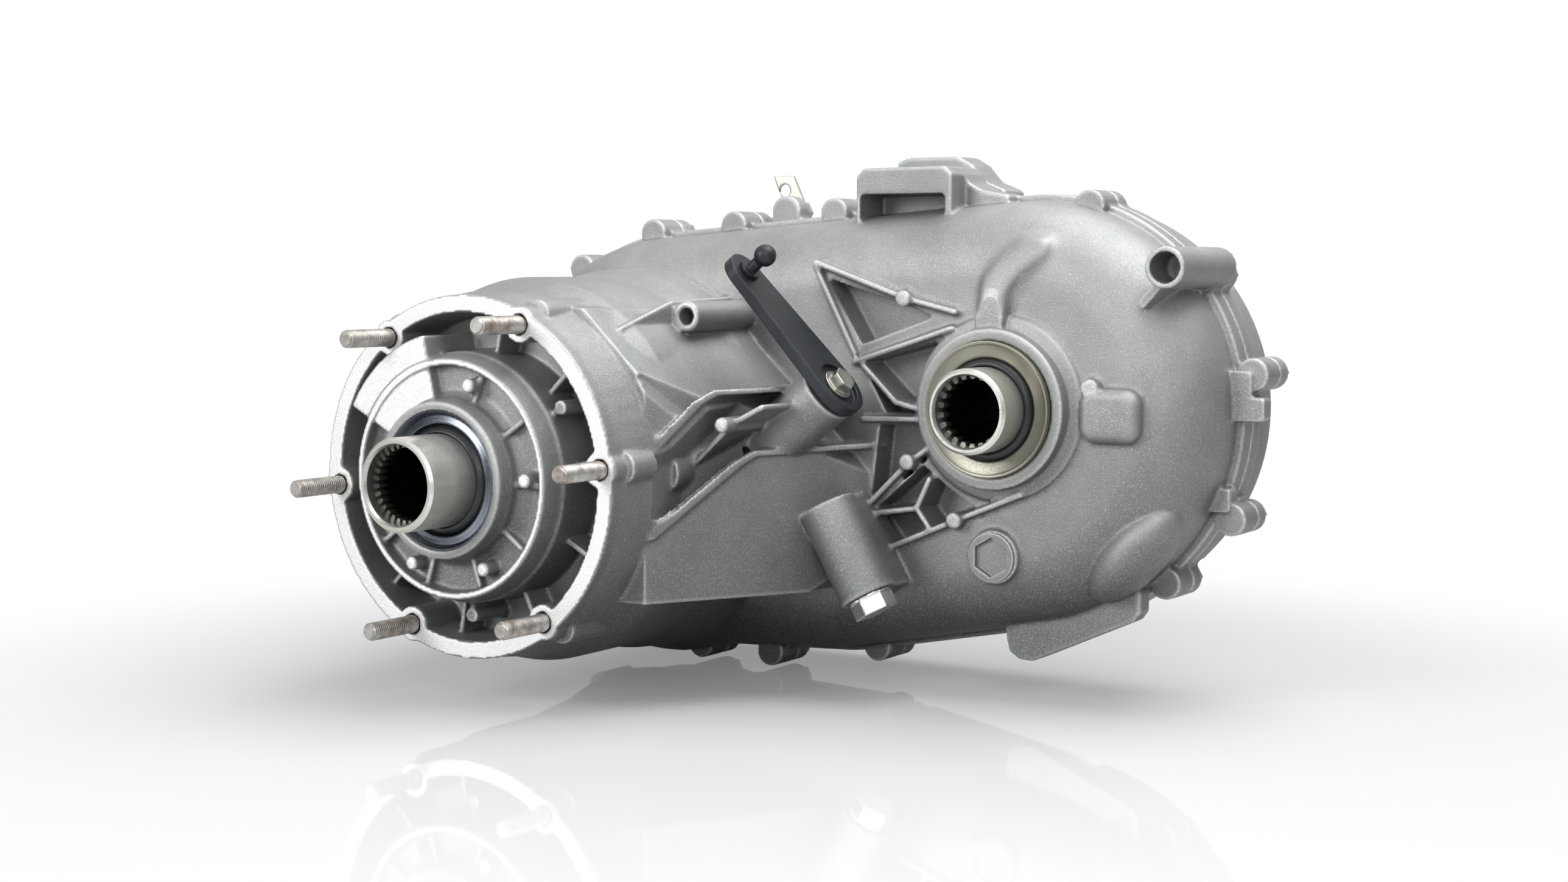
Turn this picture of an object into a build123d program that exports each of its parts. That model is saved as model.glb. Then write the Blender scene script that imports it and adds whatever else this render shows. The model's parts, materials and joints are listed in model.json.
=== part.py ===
from build123d import *
from math import acos, atan2, cos, degrees, pi, radians, sin, sqrt, tan
import os

os.makedirs("parts", exist_ok=True)

# A part-time four-wheel-drive transfer case with a planetary low range and a chain to the front output.
# Millimetres. The origin is on the input axis, in the front face of the input flange.
# +X runs towards the front output, +Y backwards along the shafts, +Z up.

# General clearances
clear = 0.3            # between pieces that move past each other
fit = 0.05             # radial running fit of a shaft or a slide
wall = 7.0             # casting wall
hidden_gap = 2.0       # room that moving pieces keep from the castings

# Axes
centre_distance = 250.0
output_rise = 8.9      # degrees that the front output lies above the input axis
output_x = centre_distance * cos(radians(output_rise))
output_z = centre_distance * sin(radians(output_rise))
shift_tilt = 38.0      # degrees that the shift shaft leans up from the horizontal
shift_offset = 63.0    # distance from the input axis to the shift shaft, square to both
shift_y = 118.0        # station of the shift shaft

# Input flange and its studs
flange_r = 100.2
flange_wall = 9.7
flange_depth = 30.0    # from the flange face to the web
web_thickness = 7.0
stud_count = 6
stud_circle_r = 92.7
stud_first = 24.65     # degrees clockwise from the top, seen from the front
stud_r = 5.0
stud_seat_r = 5.43     # mean radius of the larger thread in the casting
stud_stand = 35.5
stud_grip = 18.0
stud_boss_r = 10.0

# Input bearing boss and seal tower
boss_front = 13.5      # how far the bearing boss stands in front of the flange face
boss_r = 65.5
boss_root_r = 69.3
tower_front = 22.6
tower_r = 42.7
tower_root_r = 44.2
seal_r = 38.2
seal_width = 11.0
floor_thickness = 4.0
pocket_rib_count = 9
pocket_rib_width = 3.0
pocket_pin_r = 4.0
land_from = 298.0      # raised land, degrees clockwise from the top
land_to = 347.0
land_r = 80.0

# Input gear
hub_r = 25.4
hub_front = 55.6
hub_mouth_r = 21.4
input_spline_teeth = 32
input_spline_height = 1.9
input_spline_depth = 60.0

# Bearings: bore radius, outer radius, width
input_bearing = (30.0, 55.0, 22.0)
output_bearing = (25.0, 40.0, 16.0)
rear_bearing = (25.0, 45.0, 20.0)
ring_thickness = 5.0   # of each bearing ring
ball_count = 9

# Planetary set
gear_module = 2.5
sun_teeth = 40
planet_teeth = 14
annulus_teeth = sun_teeth + 2 * planet_teeth
planet_count = 4
pressure_angle = 20.0
backlash = 0.22        # taken off each flank
annulus_r = 97.0
gear_front = 46.0
gear_width = 32.0
planet_pin_r = 6.0
carrier_plate = 7.0
carrier_ring = 16.0    # thickness of the rear carrier ring that the range hub enters

# Shift travel
range_travel = 28.0
range_swing = 32.0     # degrees of the lever
mode_travel = 11.0

# Main shaft
pilot_r = 12.0
pilot_length = 22.0
shaft_r = 22.5
shaft_root_r = 20.5
shaft_teeth = 20
sprocket_seat_r = 23.5
rear_shaft_r = 21.0
rear_shaft_length = 80.0

# Clutch teeth
clutch_teeth = 24
range_clutch_r = 37.5
clutch_depth = 3.0
mode_clutch_r = 42.0
collar_r = 46.0
collar_groove = 8.0
collar_flange = 4.0
sleeve_r = 52.0

# Chain drive
sprocket_teeth = 34
chain_pitch = 9.6
chain_height = 9.0
chain_width = 28.0
sprocket_front = 184.0
sprocket_width = 30.0

# Front output
output_shaft_r = 23.2
output_shaft_front = 117.4
output_mouth_r = 19.3
output_boss_front = 143.5
output_boss_r = 43.9
output_fillet_r = 50.7
output_seal_r = 37.4
output_seal_front = 140.0
output_spline_teeth = 22

# Castings
tower_body_r = 109.4   # radius of the planetary housing
tower_step_y = 60.0
dome_front = 157.0
dome_shoulder = 42.0
joint_y = 220.0        # face where the two castings meet
joint_rim = 13.0       # thickness of each casting's rim
rim_step = 4.0         # how far the rim stands out of the wall
main_rim_r = 128.0
main_rim_x = 2.0
main_rim_z = 9.0
bridge_rim_r = 123.0
bridge_rim_x = 115.0
output_rim_r = 120.0
output_rim_x = 249.0
output_rim_z = 36.5
lower_rim_r = 118.5
lower_rim_x = 245.0
lower_rim_z = 30.0
rear_depth = 62.0      # how far the rear casting reaches behind the joint
rear_shoulder = 30.0
bolt_boss_r = 9.0
bolt_r = 4.0
bolt_head_r = 7.2
bolt_head_height = 6.0
bolt_length = 34.0


def unit(angle):
    """Horizontal and vertical parts of a direction, in degrees above +X."""
    return cos(radians(angle)), sin(radians(angle))


def clock(angle, radius):
    """X and Z of a point that many degrees clockwise from the top, seen from the front."""
    return radius * sin(radians(angle)), radius * cos(radians(angle))


def facing_front(y):
    return Plane(origin=(0, y, 0), x_dir=(1, 0, 0), z_dir=(0, -1, 0))


def bar(profile, front, back):
    """A front-view profile run along the shafts, from front to back."""
    return extrude(facing_front(back) * profile, amount=back - front)


def disc(radius, front, back, x=0.0, z=0.0):
    return bar(Pos(x, z) * Circle(radius), front, back)


def ring(outer, inner, front, back, x=0.0, z=0.0):
    return bar(Pos(x, z) * (Circle(outer) - Circle(inner)), front, back)


def turned(points, x=0.0, z=0.0):
    """A closed outline of (radius, y) points turned about an axis along the shafts."""
    outline = make_face(Polyline(*points, close=True))
    return Pos(x, 0, z) * revolve(outline, axis=Axis.Y)


def outline(points):
    return make_face(Polyline(*points, close=True))


def shift_point(across, y, height):
    """A point given across the shift shaft, along the case and out along the shaft."""
    nx, nz = unit(shift_tilt)
    v = across - shift_offset
    return (nx * height - nz * v, y, nz * height + nx * v)


def shift_frame(height):
    """Plane square to the shift shaft: local x runs up across the case, local y forwards."""
    nx, nz = unit(shift_tilt)
    return Plane(origin=shift_point(0, shift_y, height), x_dir=(-nz, 0, nx), z_dir=(nx, 0, nz))


def shift_bar(profile, low, high):
    return extrude(shift_frame(low) * profile, amount=high - low)


# Gear and spline outlines
def tooth_angle(radius, teeth):
    """Half the angle that an involute tooth fills at this radius."""
    pitch_r = teeth * gear_module / 2
    base_r = pitch_r * cos(radians(pressure_angle))

    def involute(r):
        turn = acos(min(1.0, base_r / max(r, base_r)))
        return tan(turn) - turn

    return pi / (2 * teeth) + involute(pitch_r) - involute(radius)


def gear_outline(teeth, tip_r, root_r, thin):
    points = []
    for k in range(teeth):
        centre = 2 * pi * k / teeth
        for radius, side in ((root_r, -1), (tip_r, -1), (tip_r, 1), (root_r, 1)):
            half = tooth_angle(radius, teeth) - thin / radius
            points.append((radius * cos(centre + side * half), radius * sin(centre + side * half)))
    return outline(points)


def spline_outline(teeth, tip_r, root_r, extra=0.0):
    """Straight-sided teeth; extra widens them, for the space that such teeth run in."""
    points = []
    for k in range(teeth):
        centre = 2 * pi * k / teeth
        for radius, side, share in (
            (root_r, -1, 0.28), (tip_r, -1, 0.20), (tip_r, 1, 0.20), (root_r, 1, 0.28),
        ):
            half = 2 * pi * share / teeth + extra / radius
            points.append((radius * cos(centre + side * half), radius * sin(centre + side * half)))
    return outline(points)


# Places that several castings and their fasteners share
def rim_points(inset=0.0):
    """Centres and radii of the circles whose hull is the outline of the joint."""
    return (
        (main_rim_x, main_rim_z, main_rim_r - inset),
        (bridge_rim_x, main_rim_z, bridge_rim_r - inset),
        (output_rim_x, output_rim_z, output_rim_r - inset),
        (lower_rim_x, lower_rim_z, lower_rim_r - inset),
    )


def rim_outline(inset=0.0):
    circles = [Pos(x, z) * Circle(r) for x, z, r in rim_points(inset)]
    return make_hull([edge for circle in circles for edge in circle.edges()])


# Degrees clockwise from the top, and how far outside the outline of the joint each bolt stands
main_bolts = ((172, 0), (208, 0), (238, 0), (268, 0), (298, 0), (325, 0), (352, 0))
output_bolts = ((15, -3), (52, 2), (80, 8), (116, 8), (140, 2), (176, 0))
bridge_bolts = ((44, 140), (115, 147), (71, -118), (146, -108))


def bolt_places():
    places = []
    for angle, stand in main_bolts:
        x, z = clock(angle, main_rim_r + stand)
        places.append((main_rim_x + x, main_rim_z + z))
    for angle, stand in output_bolts:
        x, z = clock(angle, output_rim_r + stand)
        places.append((output_rim_x + x, output_rim_z + z))
    return places + list(bridge_bolts)


def stud_places():
    return [clock(stud_first + k * 360 / stud_count, stud_circle_r) for k in range(stud_count)]


# Stations along the shafts
web_back = flange_depth + web_thickness
bearing_floor = -boss_front + 8.5 + floor_thickness
input_bearing_back = bearing_floor + input_bearing[2]
output_bearing_front = dome_front + 3.0
output_bearing_back = output_bearing_front + output_bearing[2]
case_floor = dome_front + wall
rear_floor = joint_y + rear_depth
rear_bearing_front = rear_floor - wall - rear_bearing[2]
rail_x, rail_z = (95.0 * part for part in unit(output_rise))
rail_r = 7.0
rail_front = 88.0
rail_back = joint_y + 22.0
rail_hub_r = 12.0
sprocket_back = sprocket_front + sprocket_width
sprocket_r = chain_pitch * sprocket_teeth / (2 * pi)
chain_outer_r = sprocket_r + clear + chain_height

# The pod beside the planetary housing, which the shift sector swings in
pod_front = 34.0
pod_near = 97.0        # X of its side wall at the front
pod_slope = 0.56       # how fast that wall runs out, per millimetre of length
pod_reach = 200.0      # past everything that the walls cut
roof_near = 105.5      # the same for the wall that faces up and out
roof_slope = 0.06
roof_rise = 46.7       # degrees above +X that it faces
pod_outline = ((30, -67), (146, -67), (176, -34), (184, 14), (160, 44), (136, 60), (84, 89), (30, 96))


def beyond_wall(near, slope, rise):
    """Everything outside a wall that faces that many degrees above +X and runs out with the length."""
    run = joint_y - pod_front
    far = near + slope * run + pod_reach
    plan = outline(((near, pod_front), (near + slope * run, joint_y), (far, joint_y), (far, pod_front)))
    low = Plane(origin=(0, 0, -pod_reach), x_dir=(1, 0, 0), z_dir=(0, 0, 1))
    return Rotation(0, -rise, 0) * extrude(low * plan, amount=2 * pod_reach)


def pod_side(depth):
    """Everything outside the slanting side wall of the pod, taken in by a depth."""
    return beyond_wall(pod_near - depth, pod_slope, 0)


def pod():
    body = bar(outline(pod_outline), pod_front, dome_front + wall)
    return body - pod_side(0) - beyond_wall(roof_near, roof_slope, roof_rise)


def pod_pocket(points, depth, back):
    """A pocket sunk into the side wall of the pod, seen from the front as an outline."""
    return bar(outline(points), pod_front - 1, back) & pod_side(depth)


# Features of the front casting, as (X, Z) points seen from the front
side_pocket = ((99, 8), (117, 40), (139, 43), (158, 38), (163, 19), (129, 15), (122, 9), (99, -24))
roof_pocket = ((106, 34), (119, 50), (133, 52), (112, 66), (96, 70), (92, 56))
output_pockets = (
    ((137, 109), (160, 72), (205, 88), (190, 94)),
    ((160, 62), (214, 76), (199, 34), (176, 34)),
    ((166, -20), (194, 1), (206, 12), (196, 27), (172, 27)),
    ((166, -24), (181, -42), (221, -26), (240, -22), (215, -6), (200, 5)),
)
face_ribs = (
    ((131, 118), (190, 98), (221, 91)),
    ((131, 116), (157, 67)),
    ((157, 62), (219, 82)),
    ((163, 60), (184, 40), (202, 36)),
    ((163, 30), (204, 31)),
    ((160, -25), (193, 7), (209, 18)),
    ((176, -44), (223, -24), (262, -8)),
    ((160, -25), (198, -19), (206, -2)),
    ((198, -19), (205, -28)),
)
face_pins = ((190, 98), (193, 7), (223, -24))
side_ribs = (
    ((100, -30), (126, 8), (131, 13), (170, 15)),
    ((100, 16), (114, 42), (119, 47), (137, 48)),
)
pocket_back = dome_front + 17
pocket_wall = 4.5
rib_width = 3.2
rib_rise = 3.0         # how far a rib stands out of the face round it
pin_r = 4.6
pin_rise = 6.0


def strip(points, width):
    """A front-view path given a width, with round ends."""
    profile = Sketch()
    for (x0, z0), (x1, z1) in zip(points, points[1:]):
        length = sqrt((x1 - x0) ** 2 + (z1 - z0) ** 2)
        turn = degrees(atan2(z1 - z0, x1 - x0))
        profile += Pos((x0 + x1) / 2, (z0 + z1) / 2) * Rot(0, 0, turn) * SlotCenterToCenter(length, width)
    return profile


def input_front():
    """Flange, bearing boss and seal tower, before they are bored."""
    flange = turned((
        (0, 0), (flange_r, 0), (flange_r, 8), (flange_r + 4, 40), (tower_body_r - 1.5, tower_step_y - 6),
        (tower_body_r, tower_step_y), (tower_body_r, 118), (tower_body_r + 4, 140),
        (main_rim_r - 13, dome_front + 12), (
            main_rim_r - rim_step - 1, dome_front + 38,
        ), (0, dome_front + 38),
    ))
    recess = turned((
        (boss_root_r, -1), (flange_r - flange_wall, -1), (flange_r - flange_wall - 1.5, flange_depth),
        (boss_root_r, flange_depth),
    ))
    body = flange - recess
    for x, z in stud_places():
        body += disc(stud_boss_r, 0, flange_depth + 1, x, z)
    for k in range(stud_count):
        x, z = clock(stud_first + k * 360 / stud_count, stud_circle_r + 5)
        body += disc(stud_boss_r - 1, 12, tower_step_y - 8, x, z)
    boss = turned((
        (0, -boss_front), (boss_r, -boss_front), (boss_root_r, 5.2), (boss_root_r, web_back), (0, web_back),
    ))
    hollow_floor = bearing_floor - floor_thickness
    boss -= ring(boss_r - 3.5, tower_root_r, -boss_front - 1, hollow_floor)
    boss += turned((
        (0, -tower_front), (tower_r, -tower_front), (tower_root_r, hollow_floor - 4),
        (tower_root_r + 4, hollow_floor), (tower_root_r + 4, 0), (0, 0),
    ))
    return body + boss


def pocket_ribs():
    """Radial ribs and pin bosses between the seal tower and the bearing boss, and outside the boss."""
    ribs = Part()
    hollow_floor = bearing_floor - floor_thickness
    middle = (tower_r + boss_r) / 2
    for k in range(pocket_rib_count):
        angle = 20 + k * 320 / pocket_rib_count
        if land_from < angle < land_to:
            continue
        turn = Rot(0, 0, 90 - angle)
        inner = turn * Pos(middle, 0) * Rectangle(boss_r - tower_r - 1, pocket_rib_width)
        ribs += bar(inner, -boss_front + 3, hollow_floor + 1)
        outer_middle = (boss_root_r + flange_r - 3) / 2
        outer = Pos(outer_middle, 0) * Rectangle(flange_r - boss_root_r, pocket_rib_width)
        ribs += bar(turn * Rot(0, 0, 9) * outer, 12, flange_depth + 1)
    for angle in (17, 88, 152, 208):
        x, z = clock(angle, middle - 0.5)
        ribs += disc(pocket_pin_r, -boss_front - 2.5, hollow_floor + 1, x, z)
    for angle in (58, 178):
        x, z = clock(angle, boss_root_r + 7)
        ribs += disc(pocket_pin_r, 2, flange_depth + 1, x, z)
        x, z = clock(angle, boss_root_r + 3)
        arm = Pos(x, z) * Rot(0, 0, 90 - angle) * Rectangle(9, 3.5)
        ribs += bar(arm, 3, flange_depth + 1)
    return ribs


def raised_land():
    """The flat land that joins the seal tower, the bearing boss and the flange wall."""
    spread = land_to - land_from
    middle = 90 - (land_from + land_to) / 2
    wedge = Pos(0, 0) * Rot(0, 0, middle) * Polygon(
        (0, 0),
        (2 * land_r, -2 * land_r * tan(radians(spread / 2))),
        (2 * land_r, 2 * land_r * tan(radians(spread / 2))),
        align=None,
    )
    sector = wedge & (Circle(land_r) - Circle(tower_r - 1))
    return bar(sector, -boss_front + 1, flange_depth + 1)


def dome():
    """Body over the chain, with its round shoulder and its rim."""
    body = bar(rim_outline(rim_step), dome_front, joint_y)
    front_face = body.faces().sort_by(Axis.Y)[0]
    body = fillet(front_face.edges(), dome_shoulder)
    body += bar(rim_outline(0), joint_y - joint_rim, joint_y)
    return body


def output_boss():
    return turned((
        (0, output_boss_front), (output_boss_r, output_boss_front), (output_boss_r, output_boss_front + 9),
        (output_fillet_r, output_boss_front + 11), (output_fillet_r + 3, dome_front + wall + 14),
        (0, dome_front + wall + 14),
    ), output_x, output_z)


# Shift shaft boss, drain and fill bosses
shift_boss_r = 17.0
shift_boss_height = 155.5
shift_seal_depth = 6.0
shift_shaft_r = 7.0
drain_direction = unit(-60.4)
drain_x = 183.7
drain_y = 126.0
drain_z = -65.9
drain_boss_r = 16.4
drain_boss_length = 56.0
drain_web = 20.0
drain_thread_r = 9.0
drain_depth = 16.0
drain_head = 22.0      # across the flats
fill_x = 245.7
fill_z = -43.1
fill_boss_r = 15.0
fill_plug_r = 13.9
fill_recess = 3.0
fill_socket = 19.0     # across the flats
fill_thread_r = 11.0
fill_depth = 12.0
fill_front = dome_front - 4.0
bracket_boss_r = 8.6
bracket_boss_x = 80.0
bracket_boss_z = 87.5
bracket_boss_front = 97.0
bracket_hole_r = 4.75
bracket_hole_depth = 23.0
vent_boss_r = 11.0
vent_r = 8.2
vent_x = 347.3
vent_z = 115.7
vent_front = 145.0
vent_depth = 23.0
rim_pads = ((366, 54), (373, 40.5), (355, -9))


def drain_frame(back):
    """Plane square to the drain plug, facing out, that far behind the end of its boss."""
    dx, dz = drain_direction
    place = (drain_x - dx * back, drain_y, drain_z - dz * back)
    return Plane(origin=place, x_dir=(0, 1, 0), z_dir=(dx, 0, dz))


def drain_bar(profile, back, front):
    return extrude(drain_frame(back) * profile, amount=back - front)


def front_bosses():
    body = shift_bar(Circle(shift_boss_r), 96, shift_boss_height)
    body += drain_bar(Circle(drain_boss_r) + Pos(20, 0) * Rectangle(40, drain_web), drain_boss_length, 0)
    body += disc(fill_boss_r, fill_front, dome_front + wall + 12, fill_x, fill_z)
    body += disc(13.5, 56, 110, 90, 3)
    body += disc(4.2, 62, 140, 127, 30)
    body += bar(strip(((84, -10), (127, 30), (147, 40)), 3.0), 72, dome_front + 4)
    body += disc(bracket_boss_r, bracket_boss_front, dome_front + wall, bracket_boss_x, bracket_boss_z)
    fin = outline(((48, 82), (bracket_boss_front, 96), (dome_front, 98), (dome_front, 60), (48, 60)))
    body += extrude(Plane(origin=(66, 0, 0), x_dir=(0, 1, 0), z_dir=(1, 0, 0)) * fin, amount=5)
    body += disc(5.2, dome_front - 8, dome_front + 16, 303.6, 51.3)
    body += pillow() + ring_hump()
    body += disc(vent_boss_r, vent_front, joint_y, vent_x, vent_z)
    body += bar(strip(((vent_x, vent_z), (vent_x - 17, vent_z - 19)), 5.0), vent_front + 11, joint_y)
    for x, z in rim_pads:
        pad = fillet((Pos(x, z) * Rectangle(20, 13)).vertices(), 2.5)
        body += bar(pad, joint_y - joint_rim - 9, joint_y - joint_rim + 2)
    return body


def pillow():
    """Rounded pad on the dome, beside the front output."""
    pad = bar(Pos(314.5, 37) * fillet(Rectangle(34, 29).vertices(), 8), dome_front - 9, dome_front + 16)
    return fillet(pad.faces().sort_by(Axis.Y)[0].edges(), 5.5)


def ring_hump():
    """Swelling that climbs the dome from the boss of the front output and dies out."""
    path = strip(((output_x - 3, 86), (output_x - 1, 107), (output_x + 8, 118), (output_x + 20, 127)), 17)
    front = dome_front - 9
    back = dome_front + 16
    side = outline(((front, 70), (front, 100), (dome_front + 1, 132), (back, 132), (back, 70)))
    wedge = extrude(Plane(origin=(output_x - 20, 0, 0), x_dir=(0, 1, 0), z_dir=(1, 0, 0)) * side, amount=60)
    return bar(path, front, back) & wedge


def rim_bosses(front, back, reach):
    """Bolt bosses round the joint; reach is how far each runs beyond the rim."""
    body = Part()
    for x, z in bolt_places():
        body += disc(bolt_boss_r, front - reach, back, x, z)
    return body


lug_front = 180.0


def top_lug():
    """Box-shaped lug on top of the casting, open at its front."""
    block = outline(((142, 128), (142, 167), (147, 172), (199, 172.5), (204, 168), (204, 128)))
    window = fillet((Pos(172, 149) * Rectangle(55, 16.5)).vertices(), 3)
    flank = outline(((203, 128), (203, 169), (207, 163), (215, 159), (232, 156), (232, 128)))
    body = bar(block, lug_front, joint_y) - bar(window, lug_front - 1, joint_y - joint_rim)
    return body + bar(flank, 196, joint_y)


def foot_lug():
    """Slotted lug low on the output side."""
    plate = outline((
        (236, -60), (239, -92), (241, -100), (247, -104), (
            255, -104.5,
        ), (262, -101.5), (316, -77), (320, -72),
        (320, -61), (308, -50), (290, -50),
    ))
    slots = fillet((Pos(250, -76.5) * Rot(0, 0, 24) * Rectangle(17, 9)).vertices(), 3)
    slots += fillet((Pos(281, -64.5) * Rot(0, 0, 21) * Rectangle(34, 9)).vertices(), 3)
    return bar(plate - slots, 184, 198)


def front_hollow():
    """Space for the planetary set, the chain and the shift pieces."""
    inset = rim_step + wall
    chain_room = bar(rim_outline(inset), case_floor, joint_y + 1)
    front_face = chain_room.faces().sort_by(Axis.Y)[0]
    chain_room = fillet(front_face.edges(), dome_shoulder - wall)
    for points in output_pockets:
        chain_room -= bar(offset(outline(points), amount=pocket_wall), dome_front, pocket_back + pocket_wall)
    body = chain_room + disc(annulus_r, web_back, dome_front + 30)
    reach = sqrt(rail_x ** 2 + rail_z ** 2)
    rail_room = Rot(0, 0, output_rise) * Pos(reach / 2, 0) * Rectangle(
        reach + 2 * rail_hub_r + 6, 2 * rail_hub_r + 10,
    )
    body += bar(rail_room, 96, dome_front + 20)
    far = fork_pin_reach + 14
    sector_room = outline(((-15, -15), (-15, 15), (30, 26), (far, 32), (far, -32), (30, -26)))
    body += shift_bar(sector_room, 70, sector_low + sector_thickness + 1.5)
    body += shift_bar(Circle(sector_hub_r + hidden_gap), 70, sector_low + sector_thickness + 4)
    return body


def front_bores():
    """Bores, threads and pockets cut into the front casting."""
    cuts = disc(seal_r, -tower_front - 1, bearing_floor)
    cuts += disc(input_bearing[1], bearing_floor, web_back + 1)
    cuts += disc(output_seal_r, output_boss_front - 1, output_seal_front + 11, output_x, output_z)
    cuts += disc(output_bearing[1] - 4, output_seal_front + 10, output_bearing_front + 1, output_x, output_z)
    cuts += disc(output_bearing[1], output_bearing_front, case_floor + 30, output_x, output_z)
    for x, z in stud_places():
        cuts += disc(stud_seat_r, -1, stud_grip, x, z)
    for x, z in bolt_places():
        cuts += disc(bolt_r, joint_y - bolt_length + joint_rim + 5, joint_y + 1, x, z)
    cuts += shift_bar(Circle(shift_shaft_r + fit), 90, shift_boss_height + 1)
    cuts += shift_bar(Circle(shift_shaft_r + 4), shift_boss_height - shift_seal_depth, shift_boss_height + 1)
    cuts += shift_bar(Circle(lever_foot_r + hidden_gap), shift_boss_height, shift_boss_height + 40)
    cuts += drain_bar(Circle(drain_thread_r), drain_depth + 1, -1)
    cuts += disc(fill_thread_r, fill_front - 1, fill_front + fill_depth + 1, fill_x, fill_z)
    cuts += disc(
        bracket_hole_r, bracket_boss_front - 40, bracket_boss_front + bracket_hole_depth, bracket_boss_x,
        bracket_boss_z,
    )
    cuts += disc(vent_r, vent_front - 1, vent_front + vent_depth, vent_x, vent_z)
    cuts += disc(rail_r, rail_front, dome_front + 20, rail_x, rail_z)
    return cuts


def front_case():
    body = dome() + input_front() + pod()
    for points in output_pockets:
        body -= bar(outline(points), 100, pocket_back)
    body -= pod_pocket(side_pocket, 15, dome_front - 6)
    body -= pod_pocket(roof_pocket, 7, dome_front - 20)
    for path in face_ribs:
        body += bar(strip(path, rib_width), dome_front - 5, pocket_back + 1)
    for x, z in face_pins:
        body += disc(pin_r, dome_front - 5 - rib_rise, pocket_back + 1, x, z)
    for path in side_ribs:
        body += bar(strip(path, rib_width), pod_front, dome_front + 10) - pod_side(-rib_rise)
    body += output_boss()
    body += front_bosses()
    body += pocket_ribs()
    body += raised_land()
    body += rim_bosses(joint_y - joint_rim, joint_y, 7)
    body += top_lug() + foot_lug()
    body -= front_hollow()
    body -= front_bores()
    rail_boss = disc(rail_hub_r, rail_front - 4, rail_front + 6, rail_x, rail_z)
    rail_boss -= disc(rail_r, rail_front, rail_front + 7, rail_x, rail_z)
    body += rail_boss
    return body


# Rear castings
extension_r = 56.0
extension_back = 372.0
extension_flange = 10.0
extension_bolt_count = 6
extension_bolt_circle = 66.0
rear_seal_r = 31.0
rear_seal_width = 12.0
bush_r = 24.5
sensor_r = 8.0
sensor_y = rear_floor + 31.5
tone_r = 34.0


def rear_shell(inset, front, back, shoulder):
    body = bar(rim_outline(inset), front, back)
    rear_face = body.faces().sort_by(Axis.Y)[-1]
    return fillet(rear_face.edges(), shoulder)


def extension_bolt_places():
    return [
        clock(30 + k * 360 / extension_bolt_count, extension_bolt_circle)
        for k in range(extension_bolt_count)
    ]


def rear_case():
    body = rear_shell(rim_step, joint_y, rear_floor, rear_shoulder)
    body += bar(rim_outline(0), joint_y, joint_y + joint_rim)
    body += rim_bosses(joint_y, joint_y + joint_rim, 0)
    body += disc(extension_bolt_circle + 10, rear_floor - 20, rear_floor + 6)
    body += disc(48, rear_floor - 20, rear_floor + 4, output_x, output_z)
    for k in range(8):
        turn = Rot(0, 0, output_rise + 22.5 + 45 * k)
        web = turn * Pos(88, 0) * Rectangle(44, 5)
        body += bar(web, rear_floor - 28, rear_floor + 1)
        web = Pos(output_x, output_z) * turn * Pos(60, 0) * Rectangle(40, 5)
        body += bar(web, rear_floor - 28, rear_floor + 1)
    body += bar(bracket_pad, joint_y, joint_y + joint_rim)
    body += bar(rear_lug, joint_y, joint_y + 25)
    room = rear_shell(rim_step + wall, joint_y - 1, rear_floor - wall, rear_shoulder - wall)
    body -= room
    body += ring(rear_bearing[1] + wall, rear_bearing[1], rear_bearing_front, rear_floor - wall + 1)
    body += ring(
        output_tail_r + wall, output_tail_r, output_tail_front, rear_floor - wall + 1, output_x, output_z,
    )
    rail_boss = ring(rail_hub_r, rail_r, rail_back - 12, rear_floor - wall + 1, rail_x, rail_z)
    rail_boss += disc(rail_hub_r, rail_back, rear_floor - wall + 1, rail_x, rail_z)
    body += rail_boss
    body -= disc(rear_bearing[1], rear_bearing_front, rear_floor - 2)
    body -= disc(rear_bearing[1] - 5, rear_floor - 4, rear_floor + 8)
    for x, z in bolt_places():
        body -= disc(bolt_r + clear, joint_y - 1, joint_y + joint_rim + 1, x, z)
        body -= disc(bolt_head_r + clear, joint_y + joint_rim, rear_floor, x, z)
    body -= disc(bolt_r, joint_y + 3, joint_y + joint_rim + 1, bracket_bolt_x, bracket_bolt_z)
    body -= disc(9, joint_y + joint_rim, rear_floor, bracket_bolt_x, bracket_bolt_z)
    for x, z in extension_bolt_places():
        body -= disc(bolt_r, rear_floor - 6, rear_floor + 8, x, z)
    return body


bracket_bolt_x = 69.0
bracket_bolt_z = main_rim_z + main_rim_r + 11.5
bracket_pad = Pos(bracket_bolt_x, bracket_bolt_z) * Circle(10) + Pos(
    bracket_bolt_x, bracket_bolt_z - 12,
) * Rectangle(20, 24)
rear_lug = outline(
    ((146, 143), (147, 177), (154, 179.5), (187, 179.5), (196, 174.5), (204, 165), (217, 160), (222, 143))
)
output_tail_r = 25.0
output_tail_front = joint_y + 6


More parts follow.
